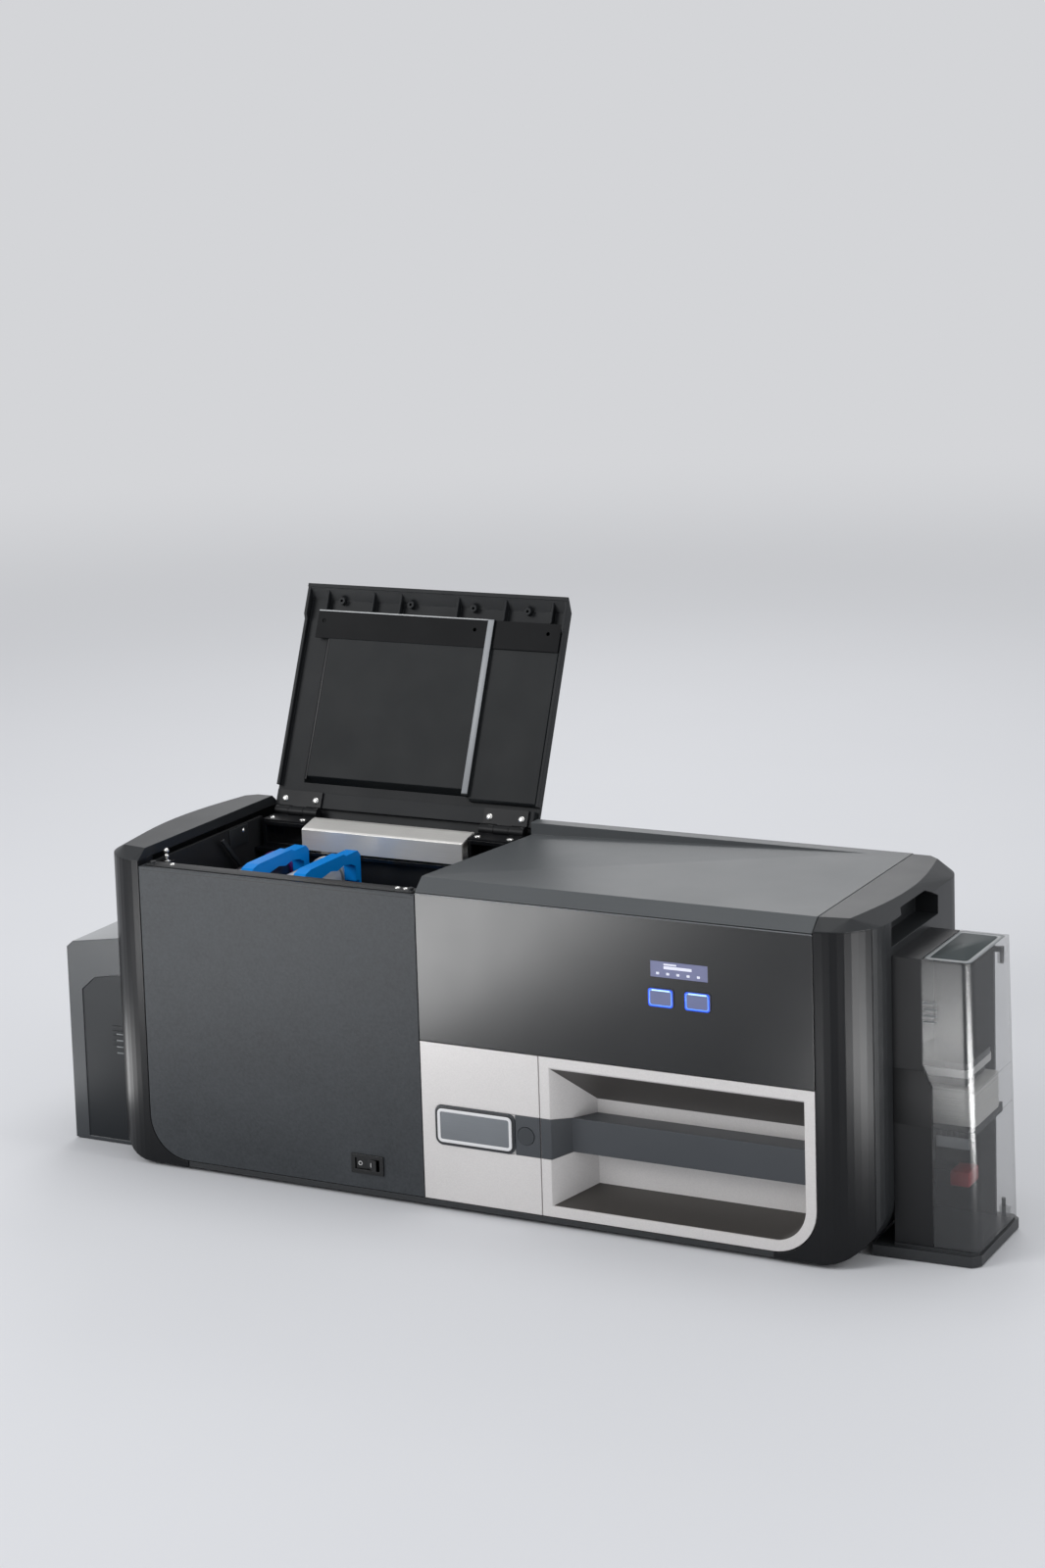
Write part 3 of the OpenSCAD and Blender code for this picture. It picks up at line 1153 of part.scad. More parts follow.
// ---------- output hopper ----------
function out_face(i) = [
    [out_x1 + (i > 0 ? 1 : 0), 1 + i], [out_x1 + (i > 0 ? 1 : 0), out_h - i], [out_x0 + 6, out_h - 7 - i],
    [out_x0 + i * 0.9, out_h - 12 - i * 0.5], [out_x0 + i, 1 + i]];
function arch_face(g) = concat([[out_x1 + 1, 3.5 + g], [out_x1 + 1, 141 - g], [out_x1 - 6, 140.5 - g]],
    [[out_x0 + 26, 137 - g], [out_x0 + 13 + g, 126 - g], [out_x0 + 13 + g, 3.5 + g]]);

module output_hopper() color("#55585b") at_home() difference() {
    union() {
        difference() {
            front_plate(out_y0, out_y1) polygon(out_face(0));
            front_plate(out_y0 + out_t, out_y1 - out_t) polygon(out_face(out_t));
        }
        box(out_x0 + 1, out_x1 + 18, out_y0 + 2, out_y1 - 2, 1, 3.5);
    }
    front_plate(out_y0 - 1, out_y0 + out_t + 0.5) polygon(arch_face(0));
}

module output_hopper_window() color([0.16, 0.17, 0.19, 0.8]) at_home() {
    front_plate(out_y0 + 0.5, out_y0 + 2.3) intersection() {
        polygon(arch_face(0.25));
        translate([out_x0, 0]) square([out_w - 0.05, out_h]);
    }
    for (i = [0:4]) box(out_x1 - 13, out_x1 - 1, out_y0, out_y0 + 1, 81 + 4 * i, 82.6 + 4 * i);
}

base_pan();
rubber_feet();
chassis_deck();
left_end_cap();
right_end_cap();
left_pillar();
right_pillar();
laminator_front_panel();
gloss_front_panel();
silver_side_panel();
badge_plate();
front_trim();
rear_panel();
rear_connectors();
laminator_bay();
printer_bay();
bay_front_lip();
rear_shelf();
rear_rail();
lower_hinge_leaves();
body_screws();
lcd_window();
rocker_bezel();
drawer_runners();
input_hopper_frame();
input_hopper_base();
card_stack();
output_hopper();
output_hopper_window();
printhead();
drive_motor();
drive_belt();
ribbon_frame();
laminator_lid();
lid_liner();
lid_guard_strip();
upper_hinge_leaves();
lid_screws();
printer_lid();
printer_lid_liner();
drawer_front();
drawer_bar();
drawer_box();
lock_plug();
left_button();
right_button();
power_rocker();
hopper_door();
card_weight();
left_cartridge();
right_cartridge();
left_film_roll();
right_film_roll();
heat_roller();
pressure_roller();
platen_roller();
motor_pulley();
ribbon_supply_spool();
ribbon_takeup_spool();
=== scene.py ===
"""Looks of an in-line card printer: its finishes, fine pieces, studio and camera.

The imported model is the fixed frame. Lengths in this file are millimetres in the machine's own layout
(x from the seam between its two sections, y from its front face, z from the table) unless a name ends
in _m, and `Layout` turns them into the frame's metres.
"""

from __future__ import annotations

import json
import logging
import math
import random
from dataclasses import dataclass, field
from enum import Enum
from typing import Any, Iterable, Sequence

import bmesh
import bpy
from mathutils import Matrix, Quaternion, Vector

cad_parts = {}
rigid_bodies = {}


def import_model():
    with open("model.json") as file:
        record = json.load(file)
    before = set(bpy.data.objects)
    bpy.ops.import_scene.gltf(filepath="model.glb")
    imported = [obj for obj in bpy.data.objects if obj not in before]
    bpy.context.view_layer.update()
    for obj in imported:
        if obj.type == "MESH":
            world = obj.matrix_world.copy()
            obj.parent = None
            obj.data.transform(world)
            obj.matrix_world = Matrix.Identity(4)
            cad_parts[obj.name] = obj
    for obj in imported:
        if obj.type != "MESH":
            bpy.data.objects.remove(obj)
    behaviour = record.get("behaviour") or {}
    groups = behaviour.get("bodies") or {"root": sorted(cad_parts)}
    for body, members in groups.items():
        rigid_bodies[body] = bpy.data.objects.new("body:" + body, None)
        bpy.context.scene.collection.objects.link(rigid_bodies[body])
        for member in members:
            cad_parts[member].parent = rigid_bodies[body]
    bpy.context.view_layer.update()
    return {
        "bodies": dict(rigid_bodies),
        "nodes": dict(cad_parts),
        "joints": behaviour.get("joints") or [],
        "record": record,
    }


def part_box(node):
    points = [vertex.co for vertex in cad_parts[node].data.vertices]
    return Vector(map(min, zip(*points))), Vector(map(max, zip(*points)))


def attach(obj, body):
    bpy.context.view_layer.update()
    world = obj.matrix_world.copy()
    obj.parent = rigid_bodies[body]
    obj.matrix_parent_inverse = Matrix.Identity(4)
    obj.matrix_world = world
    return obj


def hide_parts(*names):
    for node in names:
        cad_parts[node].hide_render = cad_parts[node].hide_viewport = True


LOG = logging.getLogger("card_printer")
MM = 0.001

Point = tuple[float, float, float]
Colour = tuple[float, float, float, float]
Box = tuple[float, float, float, float]
Tree, Socket, Piece = bpy.types.NodeTree, bpy.types.NodeSocket, bpy.types.Object
Pieces = list[bpy.types.Object]
Form = tuple[list[Vector], list[list[int]]]


# ---------------------------------------------------------------- colour and nodes


def linear(hex_colour: str) -> Colour:
    """Turns an sRGB hex colour into the opaque linear colour that shaders take."""
    values = [int(hex_colour[i : i + 2], 16) / 255 for i in (1, 3, 5)]
    r, g, b = (v / 12.92 if v <= 0.04045 else ((v + 0.055) / 1.055) ** 2.4 for v in values)
    return r, g, b, 1.0


def shade(hex_colour: str, factor: float) -> Colour:
    """Returns a hex colour's linear values scaled by a factor, kept within 0 to 1."""
    r, g, b, a = linear(hex_colour)
    return min(r * factor, 1.0), min(g * factor, 1.0), min(b * factor, 1.0), a


def add_node(
    tree: Tree, kind: str, settings: dict[str | int, Any] | None = None, links: dict[str | int, Socket] | None = None
) -> bpy.types.Node:
    """Adds one shader node with its settings and incoming links.

    Args:
        tree: The material's or world's node tree.
        kind: The node's type name without the leading ShaderNode.
        settings: Attributes of the node, or default values of its inputs.
        links: Input name or number to the output socket that feeds it.

    Returns:
        The new node.
    """
    node = tree.nodes.new("ShaderNode" + kind)
    for key, value in (settings or {}).items():
        if isinstance(key, str) and hasattr(node, key):
            setattr(node, key, value)
        else:
            node.inputs[key].default_value = value
    for key, source in (links or {}).items():
        tree.links.new(source, node.inputs[key])
    return node


ROUGHNESS_DRIFT = (0.88, 1.14)
COAT_ROUGHNESS = 0.04
# cosines between a face's own normal and its rounded one, or the lit side's way, at which a mask is 0 and 1
EDGE_COSINES = (0.98, 0.75)
LIT_SIDE_COSINES = (0.2, 0.3)


class Pattern(Enum):
    """How a surface was made, which decides the pattern its shader draws."""

    MOULDED = "moulded"
    POLISHED = "polished"
    BRUSHED = "brushed"
    FLAKE = "flake"
    WOUND = "wound"


@dataclass(frozen=True)
class Finish:
    """One finish: a real material, how it was made, and the shader values that give it.

    Patterns are sized by `grain_mm`, the real width of one grain, streak, flake or turn.
    """

    name: str
    colour: str
    roughness: float
    pattern: Pattern = Pattern.MOULDED
    metallic: float = 0.0
    ior: float = 1.5
    coat: float = 0.0
    grain_mm: float = 1.0
    grain_height_mm: float = 0.02
    mottling: float = 0.08
    edge_mm: float = 0.5
    # how much paler the colour goes along edges: partly real wear, partly a painted highlight
    edge_wear_and_highlight: float = 0.5
    streak_axis: int = 0
    streak_grains: float = 60.0
    drift_mm: float = 45.0
    alpha: float = 1.0
    glow: float = 0.0
    # a second colour for faces turned one way: painted light on a lit side, or the true colour beside painted shade
    # on the side turned away
    lit_side_colour: str = ""
    lit_side_way: Point = (0.0, 0.0, 1.0)

    def make(self) -> bpy.types.Material:
        """Builds the material once, and returns the same one after that."""
        known = bpy.data.materials.get(self.name)
        if known is not None:
            return known
        material = bpy.data.materials.new(self.name)
        material.use_nodes = True
        tree = material.node_tree
        tree.nodes.clear()
        place = add_node(tree, "TexCoord").outputs["Object"]
        bevel = add_node(tree, "Bevel", {"samples": 4, "Radius": self.edge_mm * MM}).outputs["Normal"]
        edge = self._edge_mask(tree, bevel)
        tone, height = self._pattern(tree, place)
        drift = add_node(
            tree, "TexNoise", {"Scale": 1000 / self.drift_mm, "Detail": 3.0, "Roughness": 0.55}, {"Vector": place}
        ).outputs["Fac"]
        half = add_node(tree, "Math", {"operation": "MULTIPLY", 1: 0.5}, {0: drift}).outputs[0]
        mixed = add_node(tree, "Math", {"operation": "MULTIPLY_ADD", 1: 0.5}, {0: tone, 2: half}).outputs[0]
        tint = self._tint(tree, mixed, self.colour)
        # painted light and shade: faces turned one way take a second colour
        if self.lit_side_colour:
            lit_side_tint = self._tint(tree, mixed, self.lit_side_colour)
            masks = {"Factor": self._lit_side_mask(tree), 6: tint, 7: lit_side_tint}
            tint = add_node(tree, "Mix", {"data_type": "RGBA"}, masks).outputs[2]
        # edges go paler: partly wear, partly a painted highlight
        wear_and_highlight = {"data_type": "RGBA", 7: shade(self.colour, 1 + self.edge_wear_and_highlight)}
        lifted = add_node(tree, "Mix", wear_and_highlight, {"Factor": edge, 6: tint})
        smooth, dull = (self.roughness * share for share in ROUGHNESS_DRIFT)
        span = {"To Min": max(smooth, 0.02), "To Max": min(dull, 1.0)}
        rough = add_node(tree, "MapRange", span, {"Value": drift}).outputs["Result"]
        relief = {"Strength": 1.0, "Distance": self.grain_height_mm * MM}
        bump = add_node(tree, "Bump", relief, {"Height": height, "Normal": bevel}).outputs["Normal"]
        shader = add_node(
            tree, "BsdfPrincipled",
            {"Metallic": self.metallic, "IOR": self.ior, "Alpha": self.alpha, "Coat Weight": self.coat,
             "Coat Roughness": COAT_ROUGHNESS, "Emission Strength": self.glow, "Emission Color": linear(self.colour)},
            {"Base Color": lifted.outputs[2], "Roughness": rough, "Normal": bump},
        )
        add_node(tree, "OutputMaterial", {}, {"Surface": shader.outputs["BSDF"]})
        material.diffuse_color = linear(self.colour)
        return material

    def _tint(self, tree: Tree, value: Socket, colour: str) -> Socket:
        """Returns a colour that drifts a little darker and paler with a value socket."""
        ramp = add_node(tree, "ValToRGB", {}, {"Fac": value})
        for element, position, way in zip(ramp.color_ramp.elements, (0.2, 0.8), (-1, 1)):
            element.position = position
            element.color = shade(colour, 1 + way * self.mottling)
        return ramp.outputs["Color"]

    def _lit_side_mask(self, tree: Tree) -> Socket:
        """Returns a mask that is 1 on faces turned the lit side's way, in the object's own axes, for painted light
        and shade.
        """
        normal = add_node(tree, "TexCoord").outputs["Normal"]
        facing = add_node(tree, "VectorMath", {"operation": "DOT_PRODUCT", 1: self.lit_side_way}, {0: normal})
        value = {"Value": facing.outputs["Value"]}
        return add_node(tree, "MapRange", dict(zip(("From Min", "From Max"), LIT_SIDE_COSINES)), value).outputs["Result"]

    @staticmethod
    def _edge_mask(tree: Tree, rounded: Socket) -> Socket:
        """Returns a mask that is 1 along edges, where wear and a painted highlight go, and 0 on faces."""
        flat = add_node(tree, "NewGeometry").outputs["Normal"]
        facing = add_node(tree, "VectorMath", {"operation": "DOT_PRODUCT"}, {0: rounded, 1: flat})
        value = {"Value": facing.outputs["Value"]}
        return add_node(tree, "MapRange", dict(zip(("From Min", "From Max"), EDGE_COSINES)), value).outputs["Result"]

    def _pattern(self, tree: Tree, place: Socket) -> tuple[Socket, Socket]:
        """Draws the finish's own pattern, and returns its tone and its height, each from 0 to 1."""
        scale = 1000 / self.grain_mm
        if self.pattern is Pattern.FLAKE:
            flakes = add_node(tree, "TexVoronoi", {"Scale": scale}, {"Vector": place})
            tone = add_node(tree, "SeparateColor", {}, {"Color": flakes.outputs["Color"]}).outputs[0]
            return tone, flakes.outputs["Distance"]
        if self.pattern is Pattern.BRUSHED:
            squeeze = [scale] * 3
            squeeze[self.streak_axis] = scale / self.streak_grains
            stretched = add_node(tree, "Mapping", {"Scale": squeeze}, {"Vector": place}).outputs[0]
            drawn = add_node(tree, "TexNoise", {"Scale": 1.0, "Detail": 4.0}, {"Vector": stretched})
        elif self.pattern is Pattern.WOUND:
            turns = {"bands_direction": "Z", "Scale": scale / 20, "Distortion": 0.6}
            drawn = add_node(tree, "TexWave", turns, {"Vector": place})
        else:
            detail = 2.0 if self.pattern is Pattern.POLISHED else 5.0
            drawn = add_node(tree, "TexNoise", {"Scale": scale, "Detail": detail}, {"Vector": place})
        return drawn.outputs["Fac"], drawn.outputs["Fac"]


# ---------------------------------------------------------------- finishes

_, POLISHED, BRUSHED, FLAKE, WOUND = Pattern

# ABS, moulded in a spark-eroded tool: a fine dull grain that scatters the light
CASING = Finish("abs_moulded_charcoal", "#26282a", 0.42, ior=1.38, grain_mm=1.1, grain_height_mm=0.035, edge_mm=0.9)
# the same ABS in a lighter grey, on the cover: a broad soft sheen
COVER = Finish("abs_moulded_mid_grey", "#515456", 0.42, ior=1.42, grain_mm=1.1, grain_height_mm=0.035, edge_mm=1.0,
               edge_wear_and_highlight=0.2)
# the lid: the cover's grey outside, and painted shade inside: a dull charcoal, as dark as the inside looks where no
# light finds it
LID = Finish("abs_moulded_lid_shaded_inside", "#1d1f21", 0.52, ior=1.3, grain_mm=1.1, grain_height_mm=0.035, edge_mm=1.0,
             edge_wear_and_highlight=1.2, lit_side_colour="#515456", lit_side_way=(0.0, 0.92, -0.39))
# ABS with a coarser grain that sparkles a little, on the large front panel
SLATE = Finish("abs_moulded_slate", "#3f4245", 0.5, ior=1.3, grain_mm=2.0, grain_height_mm=0.16, mottling=0.34,
               edge_mm=0.8)
# ABS polished in the tool: dark, with clear soft highlights down its corners
PILLAR = Finish("abs_polished_graphite", "#191a1c", 0.3, POLISHED, ior=1.28, grain_mm=14.0, edge_mm=1.0,
                grain_height_mm=0.003)
# acrylic with a black back: deep, with soft reflections and a strong painted highlight along its edges
PIANO = Finish("acrylic_black_backed", "#080b0e", 0.25, POLISHED, grain_mm=60.0, edge_mm=0.6,
               grain_height_mm=0.005, edge_wear_and_highlight=2.5)
# lacquer with fine aluminium flakes over ABS: warm silver with a soft sheen
SILVER = Finish("lacquer_aluminium_flake", "#e0dddb", 0.4, FLAKE, metallic=0.1, ior=1.35, grain_mm=0.7,
                grain_height_mm=0.01, edge_mm=1.0, edge_wear_and_highlight=0.1, mottling=0.04)
# ABS in a dark grey, satin: painted shade and painted dark reflection where the grip recess turns away from the light
RECESS_SHADE = Finish("painted_recess_shade", "#45423f", 0.4, grain_height_mm=0.02, edge_mm=0.3)
# ABS, moulded and left satin, for the band across the drawer
BAND = Finish("abs_satin_slate_blue", "#3d4146", 0.38, edge_mm=0.8)
# anodised aluminium: fine drawn streaks and a soft metallic sheen
BADGE_FIELD = Finish("anodised_aluminium_grey", "#74787c", 0.38, BRUSHED, metallic=0.6, grain_mm=0.5)
# fired enamel: glassy, even and bright
BADGE_RIM = Finish("enamel_white", "#ececed", 0.25, POLISHED, grain_mm=8.0, mottling=0.02)
# the same enamel, fired dark
BADGE_EDGE = Finish("enamel_dark", "#1f2124", 0.28, POLISHED, grain_mm=8.0)
# glass-filled nylon for the bays: matt black that swallows light
BAY = Finish("nylon_glass_filled_black", "#131416", 0.55, mottling=0.15)
# ABS polished black, on the shelf behind the bay: mirrors the rail and handles
SHELF = Finish("abs_polished_black", "#141517", 0.16, POLISHED, grain_mm=20.0, coat=0.2)
# ABS with a plain fine grain, on trims and trays
TRIM = Finish("abs_moulded_dark_grey", "#2c2e30", 0.42)
# ABS in a smoke grey, on the output hopper, with a painted highlight: faces turned up are painted pale, as light from
# above makes them look
OUT_CASE = Finish("abs_moulded_smoke_grey", "#3f4245", 0.36, ior=1.4, edge_mm=1.2, edge_wear_and_highlight=0.5,
                  lit_side_colour="#aeb0b2")
# ABS in a blacker grey, on the input hopper's frame
HOPPER_CASE = Finish("abs_moulded_near_black", "#1b1c1e", 0.42, ior=1.38, edge_mm=0.8, edge_wear_and_highlight=1.2)
# the same sheet as the hopper's door, backed with a pale film, on its top
INSET = Finish("polycarbonate_smoke_backed", "#3f4546", 0.5, POLISHED, ior=1.3, grain_mm=20.0)
# mild steel with a black powder coat: a fine orange peel
POWDER = Finish("steel_powder_coated_black", "#1d1e20", 0.5, grain_mm=1.8, grain_height_mm=0.05)
# zinc plated sheet steel: pale grey with drawn streaks
ZINC = Finish("steel_zinc_plated", "#b4b6b8", 0.36, BRUSHED, metallic=0.9, grain_mm=0.6, edge_wear_and_highlight=0.1)
# stainless sheet brushed along its length: bright, with streaks that soften what it mirrors
RAIL = Finish("stainless_brushed", "#f5f3ee", 0.34, BRUSHED, metallic=0.6, grain_mm=0.5, edge_wear_and_highlight=0.1,
              grain_height_mm=0.01)
# nickel plated screws: bright, slightly warm
SCREW = Finish("nickel_plated_steel", "#e4e3e0", 0.2, POLISHED, metallic=0.9, grain_mm=4.0, edge_mm=0.2,
               edge_wear_and_highlight=0.0)
# painted shade: near black for the shade inside a driver recess, a groove or a bevel
SHADE_BLACK = Finish("painted_shade_black", "#141416", 0.5, edge_mm=0.1)
# black passivated steel: near black with a thin metal sheen
HINGE = Finish("steel_black_passivated", "#101113", 0.45, POLISHED, metallic=0.2, ior=1.35, grain_mm=3.0,
               edge_wear_and_highlight=1.0)
# moulded rubber: dead matt
RUBBER = Finish("rubber_moulded_black", "#161617", 0.75, grain_mm=0.7)
# silicone sleeve on the heat roller: dull brick red
SILICONE = Finish("silicone_red_brown", "#7a3b34", 0.55, grain_mm=0.8)
# nylon, gloss moulded: black with crisp small highlights
SWITCH = Finish("nylon_gloss_black", "#0e0f10", 0.25, POLISHED, grain_mm=10.0)
# pad printed ink: flat and pale
MARK = Finish("ink_pad_printed_white", "#dededd", 0.5, grain_mm=0.6, edge_mm=0.05)
# zinc die casting under dark lacquer
LOCK = Finish("zinc_die_cast_slate", "#34383c", 0.4, POLISHED, metallic=0.2, grain_mm=3.0, edge_wear_and_highlight=0.3)
# polypropylene, gloss moulded: a strong blue for the parts that the user may touch
BLUE = Finish("polypropylene_blue", "#0087e0", 0.42, POLISHED, ior=1.22, grain_mm=6.0, edge_wear_and_highlight=0.35,
              mottling=0.05)
# the same in a deep red, on the grip of the feed arm
RED = Finish("polypropylene_red", "#b3262c", 0.34, POLISHED, grain_mm=6.0, edge_wear_and_highlight=0.3)
# ABS, moulded white: soft and even
WHITE = Finish("abs_moulded_white", "#e6e6e3", 0.4, grain_mm=0.8, edge_wear_and_highlight=0.05)
# PVC cards, calendered smooth: white edges with a faint line between them
CARD = Finish("pvc_calendered_white", "#f6f5f1", 0.3, POLISHED, grain_mm=4.0, edge_mm=0.1, edge_wear_and_highlight=0.0)
# polyester film wound tight: turns show as fine rings
FILM = Finish("polyester_film_wound", "#cfccc4", 0.2, WOUND, grain_mm=0.9, coat=0.4, edge_wear_and_highlight=0.1)
# the same film with a hologram layer on a black carrier: near black, with a violet cast
FILM_DARK = Finish("polyester_film_on_black", "#1f1922", 0.3, WOUND, grain_mm=0.9, coat=0.2, edge_wear_and_highlight=0.3)
# polystyrene, moulded: a clear flat colour at the ends of the rolls
CORE_PURPLE = Finish("polystyrene_purple", "#7d2f8c", 0.35, POLISHED, grain_mm=5.0)
# the same in a pale warm grey
CORE_GREY = Finish("polystyrene_pale_grey", "#c9c6bf", 0.35, POLISHED, grain_mm=5.0)
# dye film on a thin carrier: dark violet, with a gloss coat
DYE = Finish("polyester_dye_ribbon", "#2b2740", 0.2, WOUND, grain_mm=0.9, coat=0.4)
# aluminium, turned or milled: fine tool lines
ALLOY = Finish("aluminium_machined", "#b9bbbe", 0.3, BRUSHED, metallic=1.0, grain_mm=0.5, streak_axis=1)
# the same plating on a drawn can: darker than on the sheet
MOTOR = Finish("steel_zinc_plated_motor", "#8d9093", 0.35, BRUSHED, metallic=0.9, grain_mm=0.6)
# polycarbonate with a grey tint: what is behind it shows, dimmer; a strong painted highlight runs along its edges
SMOKE = Finish("polycarbonate_smoke", "#3a3d40", 0.22, POLISHED, grain_mm=25.0, alpha=0.26, ior=2.3,
               edge_wear_and_highlight=6.0, mottling=0.03, grain_height_mm=0.001, edge_mm=0.7)
# the same in a tint so deep that nothing shows through: the output hopper's window, satin
SMOKE_MID = Finish("polycarbonate_smoke_mid", "#24272a", 0.4, POLISHED, ior=1.3, grain_mm=25.0)
# polycarbonate rim and louvres, thick enough to look pale
SMOKE_RIM = Finish("polycarbonate_smoke_rim", "#777b7d", 0.3, POLISHED, grain_mm=20.0, edge_wear_and_highlight=0.3)
# polycarbonate strip with a matted back: dark, with a painted highlight along its cut edges
STRIP = Finish("polycarbonate_matted", "#0d0e10", 0.5, POLISHED, ior=1.2, grain_mm=15.0, edge_mm=0.3,
               edge_wear_and_highlight=1.5)
# its cut edge, polished by the saw: painted pale, a painted highlight of the light it gathers
STRIP_EDGE_HIGHLIGHT = Finish("painted_cut_edge_highlight", "#c3c5c6", 0.3, POLISHED, grain_mm=6.0)
# ABS in a blue black, on the inside of the lid
LINER = Finish("abs_moulded_blue_black", "#15181a", 0.52, ior=1.3, grain_mm=1.1, grain_height_mm=0.04, edge_mm=1.0,
               edge_wear_and_highlight=1.5)
# ABS in pale grey: a painted highlight where the lid's rib faces the light
LID_RIB_HIGHLIGHT = Finish("painted_rib_highlight", "#9da0a3", 0.34, ior=1.4, edge_mm=0.6)
# ABS in a mid grey: a painted highlight, the thin line of light along the gloss panel's top edge
PANEL_EDGE_HIGHLIGHT = Finish("painted_panel_edge_highlight", "#64676a", 0.34, edge_mm=0.6)
# lit glass cell: an even pale glow under a clear face
DISPLAY = Finish("glass_display_lavender", "#7f83a6", 0.15, POLISHED, grain_mm=12.0, glow=0.08, mottling=0.03)
# its lit segments: brighter and paler
DISPLAY_MARK = Finish("glass_display_segment", "#dcdeee", 0.3, POLISHED, grain_mm=12.0, glow=0.35)
# polycarbonate lens over a lamp: soft grey blue in the middle
LENS = Finish("polycarbonate_lens_grey_blue", "#6f769c", 0.22, POLISHED, grain_mm=8.0, glow=0.1)
# the same where the lamp shines out at its rim: vivid blue, then sky blue, and a glowing painted highlight palest at
# the top
LENS_RIM = Finish("polycarbonate_lit_blue", "#1d4fd8", 0.2, POLISHED, grain_mm=8.0, glow=0.75)
LENS_HALO = Finish("polycarbonate_lit_sky_blue", "#5c8df0", 0.2, POLISHED, grain_mm=8.0, glow=0.75)
LENS_TOP_HIGHLIGHT = Finish("painted_lens_top_highlight", "#b4dcff", 0.2, POLISHED, grain_mm=8.0, glow=0.8)

FINISHED_NODES: dict[Finish, str] = {
    POWDER: "base_pan",
    RUBBER: "rubber_feet drive_belt pressure_roller platen_roller",
    ZINC: "chassis_deck drawer_runners",
    CASING: "left_end_cap right_end_cap rear_panel",
    PILLAR: "left_pillar right_pillar",
    SLATE: "laminator_front_panel",
    PIANO: "gloss_front_panel lcd_window",
    SILVER: "silver_side_panel drawer_front",
    BAND: "badge_plate drawer_bar",
    TRIM: "front_trim bay_front_lip input_hopper_base drawer_box",
    BAY: "rear_connectors laminator_bay printer_bay printer_lid_liner",
    SHELF: "rear_shelf",
    RAIL: "rear_rail",
    HINGE: "lower_hinge_leaves upper_hinge_leaves",
    SCREW: "body_screws lid_screws",
    SWITCH: "rocker_bezel power_rocker card_weight",
    HOPPER_CASE: "input_hopper_frame",
    CARD: "card_stack",
    OUT_CASE: "output_hopper",
    SMOKE_MID: "output_hopper_window",
    ALLOY: "printhead motor_pulley",
    MOTOR: "drive_motor",
    WHITE: "ribbon_frame",
    LID: "laminator_lid",
    LINER: "lid_liner",
    STRIP: "lid_guard_strip",
    COVER: "printer_lid",
    LOCK: "lock_plug",
    LENS: "left_button right_button",
    SMOKE: "hopper_door",
    BLUE: "left_cartridge right_cartridge",
    FILM_DARK: "left_film_roll",
    FILM: "right_film_roll",
    SILICONE: "heat_roller",
    DYE: "ribbon_supply_spool ribbon_takeup_spool",
}
NODE_FINISHES = {node: finish for finish, nodes in FINISHED_NODES.items() for node in nodes.split()}


# ---------------------------------------------------------------- layout and mesh helpers


@dataclass
class Layout:
    """Turns layout millimetres into the frame's metres, and holds the lid's opened place."""

    frame: dict[str, Any]
    seam_gap: float = 0.4
    origin: Vector = field(default_factory=Vector)
    lid_turn: Matrix = field(default_factory=Matrix)

    def __post_init__(self) -> None:
        """Finds the layout's origin and the lid's opened place from the frame."""
        low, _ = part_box("gloss_front_panel")
        self.origin = Vector((low.x - self.seam_gap * MM, low.y, 0.0))
        hinge = next(j for j in self.frame["joints"] if j["name"] == "laminator_lid_hinge")
        pivot = Vector(hinge["pos_m"])
        turn = Quaternion(hinge["axis"], math.radians(-hinge["range_deg"][0]))
        self.lid_turn = Matrix.Translation(pivot) @ turn.to_matrix().to_4x4() @ Matrix.Translation(-pivot)

    def at(self, x: float, y: float, z: float) -> Vector:
        """Returns a layout point in the frame's metres."""
        return self.origin + Vector((x, y, z)) * MM

    def on_lid(self, x: float, y: float, z: float) -> Vector:
        """Returns where a point of the closed lid lies while the lid stands open, in metres."""
        return self.lid_turn @ self.at(x, y, z)

    def corners(self, node: str) -> tuple[Vector, Vector]:
        """Returns a node's lowest and highest corner in layout millimetres."""
        low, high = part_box(node)
        return (low - self.origin) / MM, (high - self.origin) / MM


def rounded_outline(
    x0: float, x1: float, y0: float, y1: float, radius: float, steps: int = 6
) -> list[tuple[float, float]]:
    """Returns the outline of a rectangle with round corners, anticlockwise."""
    outline = []
    for cx, cy, start in (
        (x1 - radius, y0 + radius, -90),
        (x1 - radius, y1 - radius, 0),
        (x0 + radius, y1 - radius, 90),
        (x0 + radius, y0 + radius, 180),
    ):
        for i in range(steps + 1):
            a = math.radians(start + 90 * i / steps)
            outline.append((cx + radius * math.cos(a), cy + radius * math.sin(a)))
    return outline


